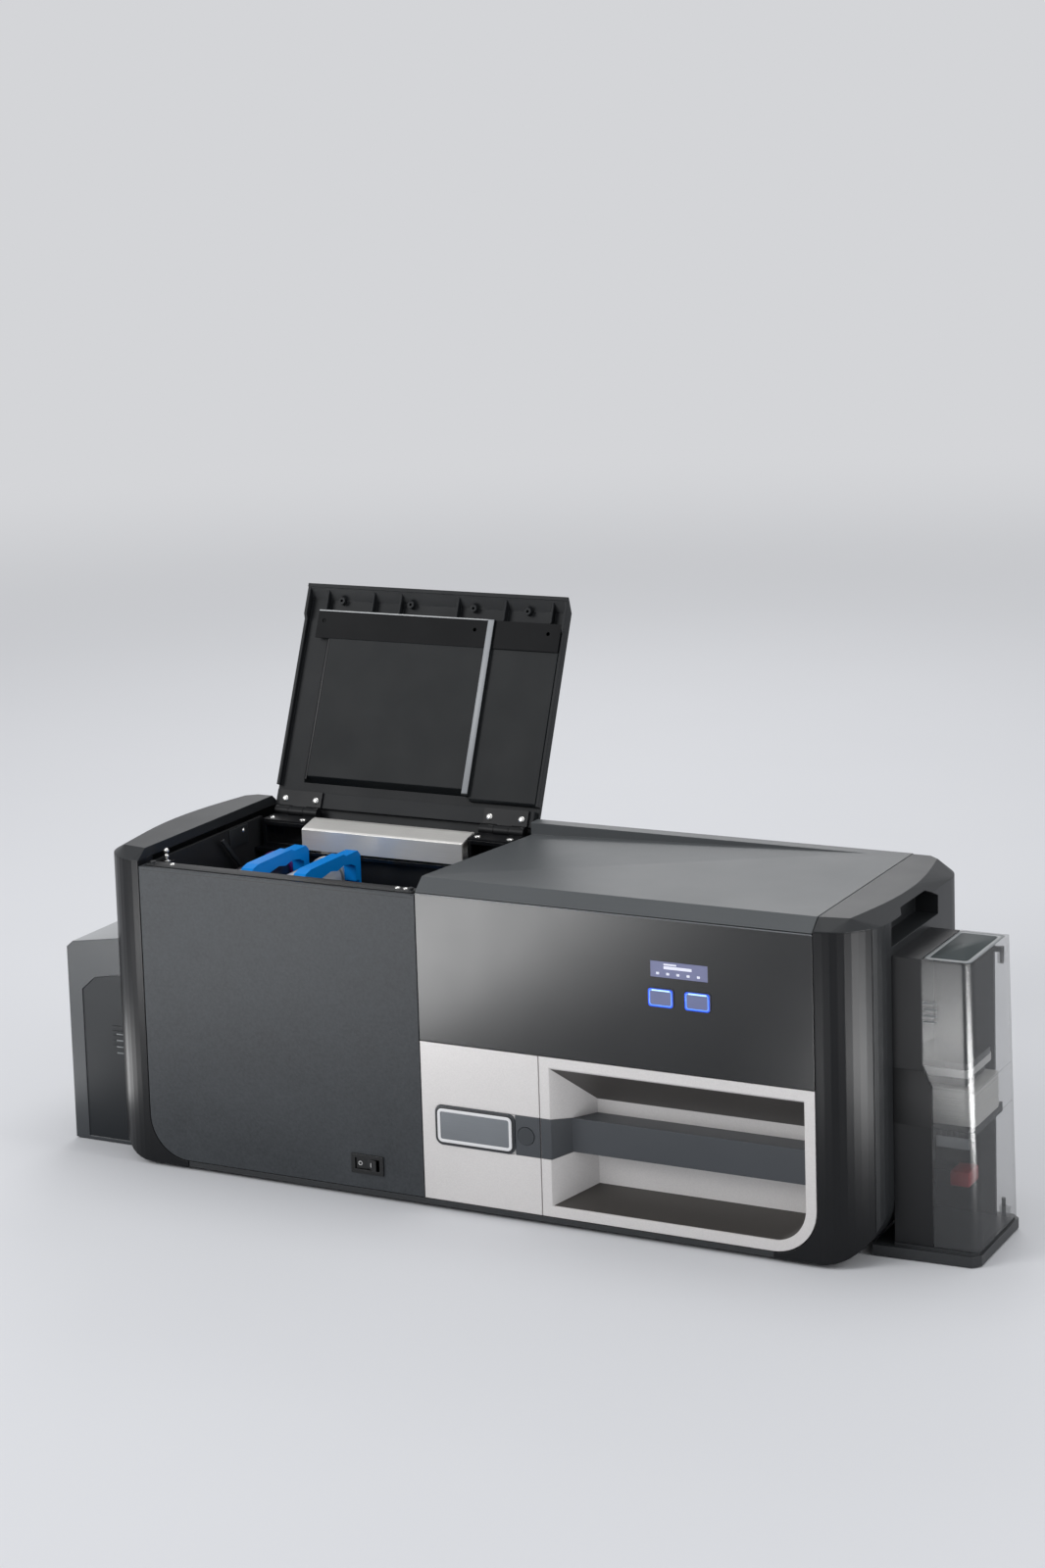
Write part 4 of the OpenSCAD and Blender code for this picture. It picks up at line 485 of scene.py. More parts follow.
def piece_from(
    name: str, vertices: Sequence[Vector], faces: Sequence[Sequence[int]], finish: Finish, slot: str,
    edge_mm: float = 0.0, body: str = "housing",
) -> Piece:
    """Makes one piece from vertices and faces, dresses it and lets it ride on a body.

    Args:
        name: The piece's name.
        vertices: Points in the frame's metres.
        faces: Vertex numbers of each face.
        finish: The finish it wears.
        slot: The material slot of the record that it belongs to. Not used.
        edge_mm: Width of a real bevel on its edges, or 0 for none.
        body: The body it moves with.

    Returns:
        The new object.
    """
    mesh = bpy.data.meshes.new(name)
    mesh.from_pydata([tuple(v) for v in vertices], [], [tuple(f) for f in faces])
    build = bmesh.new()
    build.from_mesh(mesh)
    bmesh.ops.recalc_face_normals(build, faces=build.faces)
    if edge_mm > 0:
        sharp = [e for e in build.edges if e.is_manifold and e.calc_face_angle(0.0) > 0.6]
        bmesh.ops.bevel(build, geom=sharp, offset=edge_mm * MM, segments=2, profile=0.5, affect="EDGES",
                        clamp_overlap=True)
    build.to_mesh(mesh)
    build.free()
    mesh.shade_smooth()
    mesh.set_sharp_from_angle(angle=math.radians(35))
    mesh.materials.append(finish.make())
    piece = bpy.data.objects.new(name, mesh)
    bpy.context.scene.collection.objects.link(piece)
    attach(piece, body)
    return piece


def prism(outline: Sequence[Vector], along: Vector) -> Form:
    """Returns the vertices and faces of an outline swept along a vector."""
    n = len(outline)
    vertices = list(outline) + [p + along for p in outline]
    faces = [list(range(n))[::-1], list(range(n, 2 * n))]
    faces += [[i, (i + 1) % n, n + (i + 1) % n, n + i] for i in range(n)]
    return vertices, faces


def ring(outer: Sequence[Vector], inner: Sequence[Vector], along: Vector) -> Form:
    """Returns the vertices and faces of a closed band between two outlines of equal length."""
    n = len(outer)
    vertices = list(outer) + list(inner) + [p + along for p in outer] + [p + along for p in inner]
    faces = []
    for i in range(n):
        j = (i + 1) % n
        faces += [[i, j, n + j, n + i], [2 * n + i, 3 * n + i, 3 * n + j, 2 * n + j]]
        faces += [[i, 2 * n + i, 2 * n + j, j], [n + i, n + j, 3 * n + j, 3 * n + i]]
    return vertices, faces


def lathe(profile: Sequence[tuple[float, float]], place: Matrix, steps: int) -> Form:
    """Returns a closed turned form: (radius, height) points in mm turned about the place's z axis."""
    vertices, faces = [], []
    for radius, height in profile:
        for i in range(steps):
            a = 2 * math.pi * i / steps
            vertices.append(place @ (Vector((radius * math.cos(a), radius * math.sin(a), height)) * MM))
    for k in range(len(profile) - 1):
        for i in range(steps):
            j = (i + 1) % steps
            faces.append([k * steps + i, k * steps + j, (k + 1) * steps + j, (k + 1) * steps + i])
    faces.append(list(range(steps))[::-1])
    faces.append([(len(profile) - 1) * steps + i for i in range(steps)])
    return vertices, faces


# ---------------------------------------------------------------- sub-assemblies


@dataclass
class CarriedNodes:
    """Every piece of the frame, dressed with its finish."""

    def dress(self, frame: dict[str, Any]) -> None:
        """Puts each node's finish on it."""
        for name, node in frame["nodes"].items():
            material = NODE_FINISHES[name].make()
            node.data.materials.clear()
            node.data.materials.append(material)
            LOG.info("dressed %s in %s", name, material.name)


@dataclass
class Details:
    """A group of small pieces that the layout places."""

    layout: Layout

    def front(self, box: Box, radius: float, y: float, inset: float = 0.0) -> list[Vector]:
        """Returns an x0, x1, z0, z1 box with round corners, set in, on a plane parallel to the front face."""
        x0, x1, z0, z1 = box
        plan = rounded_outline(x0 + inset, x1 - inset, z0 + inset, z1 - inset, radius)
        return [self.layout.at(x, y, z) for x, z in plan]

    def slab(
        self, name: str, low: Point, high: Point, finish: Finish, slot: str, edge_mm: float = 0.2,
        body: str = "housing", on_lid: bool = False,
    ) -> Piece:
        """Builds a small plate with bevelled edges between two corners given in layout millimetres."""
        place = self.layout.on_lid if on_lid else self.layout.at
        (x0, y0, z0), (x1, y1, z1) = low, high
        outline = [place(x, y, z0) for x, y in ((x0, y0), (x1, y0), (x1, y1), (x0, y1))]
        return piece_from(name, *prism(outline, place(x0, y0, z1) - outline[0]), finish, slot, edge_mm, body)


@dataclass
class FrontDetails(Details):
    """Badge, display, button lights, switch marks, and a painted highlight line and a painted shade groove at the
    tops of two front panels.
    """

    badge_width: float = 66.0
    badge_radius: float = 5.4
    edge_width: float = 1.5
    rim_width: float = 2.4
    mark_depth: float = 0.15
    button_radii: tuple[float, float] = (1.9, 1.3)
    rocker_rest_deg: float = -8.0
    rocker_half: float = 9.4

    def build(self) -> Pieces:
        """Builds every front detail and returns the pieces."""
        return [*self._badge(), *self._display(), *self._buttons(), *self._switch(), *self._panel_top_light_and_shade()]

    def _badge(self) -> Pieces:
        """Builds the blank badge: a dark edge, a white rim and a plain satin field."""
        low, high = self.layout.corners("badge_plate")
        box = (low.x + 0.6, low.x + self.badge_width, low.z + 0.8, high.z - 0.8)
        out = Vector((0, -MM, 0))
        outer, between, inner = (
            self.front(box, self.badge_radius - inset, low.y, inset)
            for inset in (0.0, self.edge_width, self.edge_width + self.rim_width)
        )
        return [
            piece_from("badge_edge", *ring(outer, between, out * 0.5), BADGE_EDGE, "badge_metal", 0.15),
            piece_from("badge_rim", *ring(between, inner, out * 0.8), BADGE_RIM, "badge_metal", 0.15),
            piece_from("badge_field", *prism(inner, out * 0.35), BADGE_FIELD, "badge_metal"),
        ]

    def _display(self) -> Pieces:
        """Builds the lit display and its generic marks: two bars and a row of small squares."""
        low, high = self.layout.corners("lcd_window")
        cx, cz = (low.x + high.x) / 2, (low.z + high.z) / 2
        out = Vector((0, -self.mark_depth * MM, 0))
        marks = [(-12.0, 10.0, 0.4, 2.6), (-12.0, -2.0, 3.2, 4.4)]
        marks += [(-18 + 8.0 * i, -15.6 + 8.0 * i, -4.0, -2.2) for i in range(5)]
        face = self.front((low.x, high.x, low.z, high.z), 1.6, low.y, 0.3)
        pieces = [piece_from("display_face", *prism(face, out * 0.5), DISPLAY, "display")]
        for i, (x0, x1, z0, z1) in enumerate(marks):
            mark = self.front((cx + x0, cx + x1, cz + z0, cz + z1), 0.4, low.y)
            pieces.append(piece_from(f"display_mark_{i}", *prism(mark, out), DISPLAY_MARK, "display"))
        return pieces

    def _buttons(self) -> Pieces:
        """Builds the lit rim, the halo inside it and the glowing painted highlight along the top of each button."""
        pieces = []
        for body in ("left_button", "right_button"):
            low, high = self.layout.corners(body)
            cx, cz = (low.x + high.x) / 2, (low.z + high.z) / 2
            for part, dx, dz, inset, lift, finish in (
                ("rim", 9.7, 6.7, 0.8, 0.3, LENS_RIM),
                ("halo", 8.9, 5.9, 0.7, 0.28, LENS_HALO),
            ):
                box = (cx - dx, cx + dx, cz - dz, cz + dz)
                outer, inner = (
                    self.front(box, r, low.y, by) for r, by in zip(self.button_radii, (0.0, inset))
                )
                light = ring(outer, inner, Vector((0, -lift * MM, 0)))
                pieces.append(piece_from(f"{body}_{part}", *light, finish, "button_lens", body=body))
            lens_highlight = self.front((cx - 6.8, cx + 7.6, cz + 5.0, cz + 6.1), 0.5, low.y)
            form = prism(lens_highlight, Vector((0, -0.36 * MM, 0)))
            pieces.append(piece_from(f"{body}_crown", *form, LENS_TOP_HIGHLIGHT, "button_lens", body=body))
        return pieces

    def _switch(self) -> Pieces:
        """Builds the ring and the bar printed on the two halves of the power rocker."""
        low, high = self.layout.corners("power_rocker")
        axis = self.layout.at((low.x + high.x) / 2, 5.0, (low.z + high.z) / 2)
        slope = math.atan2(1.8, self.rocker_half)
        circle = [(math.cos(a), math.sin(a)) for a in (2 * math.pi * i / 24 for i in range(24))]
        bar = [(-0.28, -1.7), (0.28, -1.7), (0.28, 1.7), (-0.28, 1.7)]
        pieces = []
        for name, side in (("ring", -1), ("bar", 1)):
            face = (
                Matrix.Translation(axis)
                @ Matrix.Rotation(math.radians(self.rocker_rest_deg), 4, "Z")
                @ Matrix.Translation(Vector((side * 5.0, -5.62, 0)) * MM)
                @ Matrix.Rotation(-side * slope, 4, "Z")
                @ Matrix.Rotation(math.radians(90), 4, "X")
            )
            depth = face.to_3x3() @ Vector((0, 0, 0.12 * MM))
            if name == "ring":
                outer, inner = ([face @ (Vector((r * c, r * s, 0)) * MM) for c, s in circle] for r in (1.7, 1.2))
                form = ring(outer, inner, depth)
            else:
                form = prism([face @ (Vector((x, z, 0)) * MM) for x, z in bar], depth)
            pieces.append(piece_from(f"rocker_{name}_mark", *form, MARK, "switch_black", body="power_rocker"))
        return pieces

    def _panel_top_light_and_shade(self) -> Pieces:
        """Builds the painted highlight along the gloss panel's top edge, and the painted shade in the slate panel's
        groove.
        """
        low, high = self.layout.corners("gloss_front_panel")
        pale = self.slab("panel_top_highlight", (low.x + 0.4, low.y - 0.12, high.z - 1.1),
                         (high.x - 0.4, low.y + 0.4, high.z - 0.1), PANEL_EDGE_HIGHLIGHT, "silver_paint", 0.1)
        low, high = self.layout.corners("laminator_front_panel")
        dark = self.slab("panel_top_groove_shade", (low.x + 2.0, low.y - 0.04, high.z - 2.7),
                         (high.x - 2.0, low.y + 0.3, high.z - 2.3), SHADE_BLACK, "dark_casing", 0.02)
        return [pale, dark]


@dataclass
class GripRecess(Details):
    """Painted shade: dark satin linings on the sloping ceiling and the floor of the drawer's grip recess, for the
    shade and dark reflections there.
    """

    x_start: float = 107.8
    x_end: float = 309.2
    side_run: float = 22.0
    end_run: float = 4.0
    front_y: float = 1.2
    depth: float = 35.0
    floor_front: float = 16.0
    floor_rise: float = 9.4
    ceiling_front: float = 122.0
    ceiling_drop: float = 31.0
    corner_radius: float = 26.0
    thickness: float = 0.25
    wall_gap: float = 0.1
    seat_gap: float = 0.02

    def build(self) -> Pieces:
        """Builds both painted shade linings and returns the pieces."""
        return [self._ceiling(), self._floor()]

    def _wall(self, y: float) -> tuple[float, float]:
        """Returns where the recess's two side walls stand at a depth."""
        return self.x_start + self.side_run * y / self.depth, self.x_end - self.end_run * y / self.depth

    def _ceiling(self) -> Piece:
        """Builds the painted shade lining of the sloping ceiling."""
        corners = []
        for y in (self.front_y, self.depth - self.wall_gap):
            x0, x1 = self._wall(y)
            z = self.ceiling_front - self.ceiling_drop * y / self.depth - self.seat_gap
            corners += [(x0 + self.wall_gap, y, z), (x1 - self.wall_gap, y, z)]
        outline = [self.layout.at(*corners[i]) for i in (0, 1, 3, 2)]
        form = prism(outline, Vector((0, 0, -self.thickness * MM)))
        return piece_from("recess_ceiling_shade", *form, RECESS_SHADE, "band_slate", body="drawer")

    def _floor_point(self, across: float, along: float, layer: float) -> Vector:
        """Returns a point of the floor's lining at its shares across and along, on its under or upper side."""
        y = self.front_y + (self.depth - self.front_y - self.wall_gap) * along
        x0, x1 = self._wall(y)
        x = x0 + self.wall_gap + (x1 - x0 - 2 * self.wall_gap) * math.sin(math.pi / 2 * across)
        slope = self.floor_front + self.floor_rise * y / self.depth
        over = max(x - self.x_end + self.corner_radius, 0.0) / self.corner_radius
        arc = self.floor_front + self.corner_radius * (1 - math.sqrt(1 - min(over, 0.98) ** 2))
        return self.layout.at(x, y, max(slope, arc) + self.seat_gap + layer)

    def _floor(self) -> Piece:
        """Builds the painted shade lining of the floor, which runs up the round corner at its right end."""
        columns, rows = 48, 6
        stride, count = columns + 1, (columns + 1) * (rows + 1)
        vertices = [
            self._floor_point(i / columns, j / rows, layer)
            for layer in (0.0, self.thickness) for j in range(rows + 1) for i in range(stride)
        ]
        faces = []
        for j in range(rows):
            for i in range(columns):
                a = j * stride + i
                faces += [[a, a + stride, a + stride + 1, a + 1],
                          [count + a, count + a + 1, count + a + stride + 1, count + a + stride]]
        for i in range(columns):
            b = rows * stride + i
            faces += [[i, i + 1, count + i + 1, count + i], [b, count + b, count + b + 1, b + 1]]
        for j in range(rows):
            a, b = j * stride, j * stride + columns
            faces += [[a, count + a, count + a + stride, a + stride], [b, b + stride, count + b + stride, count + b]]
        return piece_from("recess_floor_shade", vertices, faces, RECESS_SHADE, "band_slate", body="drawer")


@dataclass
class HopperDetails(Details):
    """Cards, louvres, middle panel, top panel, weight plate, ledge and red grip of the input hopper."""

    card_thickness: float = 0.76
    card_radius: float = 3.2
    slip: float = 0.6
    wall_x: float = 359.0
    seam_x: float = 381.0
    seam_step: float = 7.0
    front_y: float = 44.0
    top_z: float = 221.0
    outer_x: float = 418.0
    rear_y: float = 126.0
    middle_z: Point = (99.0, 128.0, 139.6)
    louvre_z: tuple[float, ...] = (175.5, 180.0, 184.5, 189.0)

    def build(self) -> Pieces:
        """Builds the hopper's pieces and returns them."""
        return [self._cards(), self._middle_panel(), *self._top_panel(), *self._louvres(), *self._fittings()]

    def _cards(self) -> Piece:
        """Builds the stack card by card."""
        low, high = self.layout.corners("card_stack")
        rng = random.Random(7)
        vertices: list[Vector] = []
        faces: list[list[int]] = []
        for i in range(int((high.z - low.z) / self.card_thickness)):
            dx, dy = rng.uniform(0, self.slip), rng.uniform(-self.slip, self.slip)
            z = low.z + i * self.card_thickness
            plan = rounded_outline(low.x, high.x - dx, low.y + 0.4 + dy, high.y - 0.4 + dy, self.card_radius, 4)
            rise = Vector((0, 0, (self.card_thickness - 0.08) * MM))
            form, sides = prism([self.layout.at(x, y, z) for x, y in plan], rise)
            faces += [[k + len(vertices) for k in side] for side in sides]
            vertices += form
        cards = piece_from("blank_cards", vertices, faces, CARD, "card_white")
        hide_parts("card_stack")
        return cards

    def _middle_panel(self) -> Piece:
        """Builds the dark panel let into the middle of the hopper's front."""
        foot, step, top = self.middle_z
        x0, x1, x2 = self.wall_x + 0.6, self.seam_x + self.seam_step - 0.8, self.seam_x + 1.6
        corners = ((x0, foot), (x1, foot), (x1, step), (x2, top), (x0, top))
        form = prism([self.layout.at(x, self.front_y, z) for x, z in corners], Vector((0, -0.3 * MM, 0)))
        return piece_from("hopper_middle_panel", *form, BAY, "dark_casing", 0.15)

    def _top_panel(self) -> Pieces:
        """Builds the dark inset panel of the door's top and the pale rim round it."""
        plan = rounded_outline(self.seam_x + 4.2, self.outer_x - 5.2, self.front_y + 6.2, self.rear_y - 8.2, 2.8)
        edge = rounded_outline(self.seam_x + 1.0, self.outer_x - 1.2, self.front_y + 1.6, self.rear_y - 2.4, 4.0)
        inner, outer = ([self.layout.at(x, y, self.top_z - 0.1) for x, y in line] for line in (plan, edge))
        up = Vector((0, 0, 0.2 * MM))
        door = "hopper_door"
        return [
            piece_from("hopper_top_panel", *prism(inner, up * 0.6), INSET, "smoke_dark", 0.05, door),
            piece_from("hopper_top_rim", *ring(outer, inner, up), SMOKE_RIM, "smoke_clear", 0.05, door),
        ]

    def _louvres(self) -> Pieces:
        """Builds the four short louvres beside the door's seam."""
        return [
            self.slab(f"hopper_louvre_{i}", (self.seam_x + 1.2, self.front_y - 0.35, z),
                      (self.seam_x + 11.5, self.front_y + 0.05, z + 1.1), SMOKE_RIM, "smoke_clear",
                      body="hopper_door")
            for i, z in enumerate(self.louvre_z)
        ]

    def _fittings(self) -> Pieces:
        """Builds the white plate round the card weight, the ledge under the cards and the feed arm's grip."""
        low, high = self.layout.corners("card_weight")
        return [
            self.slab("card_weight_plate", (low.x - 0.15, low.y - 0.15, low.z + 7.0),
                      (high.x + 0.15, high.y + 0.15, low.z + 13.5), WHITE, "card_white", 0.8, "card_weight"),
            self.slab("hopper_ledge", (self.seam_x + 8.5, self.front_y + 3.6, 84.5),
                      (self.outer_x - 4.0, self.front_y + 5.2, 92.5), SMOKE_RIM, "trim_grey", 0.4),
            self.slab("reject_arm_grip", (self.wall_x + 30, 76.5, 45.5), (self.wall_x + 44.6, 97.5, 56.6),
                      RED, "trim_grey", 1.2),
        ]


@dataclass
class OutputDetails(Details):
    """The four pale louvres in the output hopper's window."""

    count: int = 4
    pitch: float = 5.2
    top_share: float = 0.36
    span: tuple[float, float] = (9.0, 1.0)

    def build(self) -> Pieces:
        """Builds the louvres and returns them."""
        low, high = self.layout.corners("output_hopper_window")
        top = high.z - (high.z - low.z) * self.top_share
        return [
            self.slab(f"output_louvre_{i}", (high.x - self.span[0], low.y - 0.1, top - i * self.pitch),
                      (high.x - self.span[1], low.y + 0.4, top - i * self.pitch + 1.0), SMOKE_RIM, "smoke_dark", 0.1)
            for i in range(self.count)
        ]


@dataclass
class LidDetails(Details):
    """The lid's painted light and shade: a highlight on its rib and along the guard strip's edge, a black shadow in
    its bevel, and painted shade in the cross recesses of the lower hinge screws.
    """

    rib_x: float = -70.0
    rib_width: float = 6.0
    rib_start: float = 23.0
    rib_end: float = 168.0
    rib_z: float = 243.0
    strip_x: float = -231.0
    bevel_start: float = 24.6
    bevel_xz: tuple[tuple[float, float], ...] = ((-222.5, 250.9), (-217.5, 244.25), (-216.3, 244.25), (-221.3, 250.9))
    hinge_x: tuple[float, float] = (-218.7, -27.3)
    screw_dx: float = 14.5
    lower_y: float = 179.0
    recess_span: float = 1.5
    recess_width: float = 0.36

    def build(self) -> Pieces:
        """Builds the lid's pieces and returns them."""
        return [self._rib_highlight(), self._strip_highlight(), self._bevel_shadow(), *self._recesses()]

    def _rib_highlight(self) -> Piece:
        """Builds the painted highlight: a pale face on the rib that parts the lid's two panels, where it faces the
        light.
        """
        return self.slab("lid_rib_highlight", (self.rib_x + 0.3, self.rib_start + 0.3, self.rib_z - 0.25),
                         (self.rib_x + self.rib_width - 0.3, self.rib_end - 0.3, self.rib_z + 0.1),
                         LID_RIB_HIGHLIGHT, "liner_dark", 0.15, "laminator_lid", True)

    def _strip_highlight(self) -> Piece:
        """Builds the painted highlight: a bright strip along the top of the guard strip's cut edge."""
        return self.slab("guard_strip_highlight", (self.strip_x, self.rib_start - 0.15, self.rib_z + 1.75),
                         (self.rib_x - 0.4, self.rib_start + 0.75, self.rib_z + 2.3),
                         STRIP_EDGE_HIGHLIGHT, "liner_dark", 0.1, "laminator_lid", True)

    def _bevel_shadow(self) -> Piece:
        """Builds the painted shadow: a black lining on the bevel along the inner panel's left side."""
        start = self.rib_start + self.bevel_start
        outline = [self.layout.on_lid(x, start, z) for x, z in self.bevel_xz]
        run = self.layout.on_lid(0, self.rib_end - 1.0, 0) - self.layout.on_lid(0, start, 0)
        return piece_from("liner_bevel_shadow", *prism(outline, run), SHADE_BLACK, "liner_dark", 0.05, "laminator_lid")

    def _recesses(self) -> Pieces:
        """Builds painted shade: dark cross marks that stand for the recesses of the four body screws under the
        hinges.
        """
        _, high = self.layout.corners("body_screws")
        arms = (("a", self.recess_span, self.recess_width), ("b", self.recess_width, self.recess_span))
        return [
            self.slab(f"screw_recess_{k}_{side}_{name}", (x + way - dx, self.lower_y - dy, high.z - 0.4),
                      (x + way + dx, self.lower_y + dy, high.z + 0.02), SHADE_BLACK, "bright_steel", 0.05)
            for k, x in enumerate(self.hinge_x)
            for side, way in (("l", -self.screw_dx), ("r", self.screw_dx))
            for name, dx, dy in arms
        ]


@dataclass
class BayDetails(Details):
    """What shows in the open bay: its lip, ball stud, screws, side plate and the feed lever."""

    lip_z: float = 242.0
    lip_t: float = 0.7
    lip_y: tuple[float, float] = (3.6, 16.6)
    lip_x: tuple[float, float] = (-240.5, -4.0)
    screws: tuple[tuple[float, float], ...] = ((-222.0, 12.5), (-21.0, 12.5), (-14.0, 12.5))
    screw_r: float = 2.2
    stud: Point = (-239.0, 30.0, 249.2)
    cheek_x: float = -241.7
    lever_x: float = -238.0
    lever_width: float = 1.6
    lever_yz: tuple[tuple[float, float], ...] = ((105.5, 238.0), (110.5, 238.5), (143.0, 204.0), (138.0, 204.0))

    def build(self) -> Pieces:
        """Builds the bay's pieces and returns them."""
        return [self._lip(), *self._screws(), *self._stud(), *self._plate(), self._lever()]

    def _lip(self) -> Piece:
        """Builds the dark cover of the bay's front lip."""
        return self.slab("bay_lip_cover", (self.lip_x[0], self.lip_y[0], self.lip_z),
                         (self.lip_x[1], self.lip_y[1], self.lip_z + self.lip_t), BAY, "black_inner", 0.15)

    @staticmethod
    def _dome(name: str, place: Matrix, radius: float, height: float = 1.1) -> Piece:
        """Builds one domed screw head."""
        turns = [math.pi / 2 * i / 6 for i in range(6)]
        profile = [(radius, -0.3)] + [(radius * math.cos(a), height * math.sin(a)) for a in turns]
        return piece_from(name, *lathe(profile, place, 24), SCREW, "bright_steel")

    def _screws(self) -> Pieces:
        """Builds the screws of the lip."""
        places = [Matrix.Translation(self.layout.at(x, y, self.lip_z + self.lip_t)) for x, y in self.screws]
        return [self._dome(f"lip_screw_{i}", place, self.screw_r) for i, place in enumerate(places)]

    def _stud(self) -> Pieces:
        """Builds the lid's ball stud, two beads on a neck, and the block that holds it."""
        x, y, z = self.stud
        profile = [(2.8, -9.6), (2.8, -8.0), (1.3, -7.6), (1.3, -6.4)]
        profile += [(2.1 * math.cos(a), -4.6 + 2.1 * math.sin(a)) for a in (-0.9, -0.45, 0.0, 0.45, 0.9)]
        profile += [(1.2, -2.6), (1.2, -1.9)]
        profile += [(2.3 * math.cos(a), 2.3 * math.sin(a) - 0.4) for a in (-1.0, -0.6, -0.2, 0.2, 0.6, 1.0, 1.35)]
        form = lathe(profile, Matrix.Translation(self.layout.at(x, y, z - 1.0)), 24)
        pin = piece_from("lid_ball_stud", *form, SCREW, "bright_steel")
        block = self.slab("ball_stud_block", (x - 4.0, y - 6.0, z - 13.0), (x + 3.2, y + 6.0, z - 9.6),
                          SWITCH, "black_inner", 0.5)
        return [block, pin]

    def _plate(self) -> Pieces:
        """Builds the plate on the bay's left cheek and its screw."""
        plate = self.slab("bay_cheek_plate", (self.cheek_x - 0.8, 126.0, 226.0), (self.cheek_x, 154.0, 241.5),
                          CASING, "black_inner", 0.3)
        turn = Matrix.Rotation(math.radians(90), 4, "Y")
        place = Matrix.Translation(self.layout.at(self.cheek_x, 147.0, 237.0)) @ turn
        return [plate, self._dome("bay_cheek_screw", place, 2.0)]

    def _lever(self) -> Piece:
        """Builds the slanted lever beside the left cartridge."""
        outline = [self.layout.at(self.lever_x, y, z) for y, z in self.lever_yz]
        form = prism(outline, Vector((self.lever_width * MM, 0, 0)))
        return piece_from("bay_feed_lever", *form, CASING, "black_inner", 0.4)


@dataclass
class RollFlanges(Details):
    """Coloured end flanges of the two laminate rolls."""

    flange_width: float = 3.0
    margin: float = 0.12
    bore_r: float = 3.6

    def build(self) -> Pieces:
        """Builds a sleeve over each flange and returns the pieces."""
        pieces = []
        for body, finish in (("left_film_roll", CORE_PURPLE), ("right_film_roll", CORE_GREY)):
            low, high = self.layout.corners(body)
            cx, cz = (low.x + high.x) / 2, (low.z + high.z) / 2
            b, r, m, w = self.bore_r, (high.x - low.x) / 2 + self.margin, self.margin, self.flange_width
            profile = [(b, -m), (r - 0.5, -m), (r, 0.5 - m), (r, w + m - 0.5), (r - 0.5, w + m), (b, w + m)]
            for end, y in (("front", low.y + 3.6), ("rear", high.y - 6.6)):
                place = Matrix.Translation(self.layout.at(cx, y, cz)) @ Matrix.Rotation(math.radians(-90), 4, "X")
                form = lathe(profile, place, 48)
                pieces.append(piece_from(f"{body}_{end}_flange", *form, finish, "film", body=body))
        return pieces


# ---------------------------------------------------------------- studio


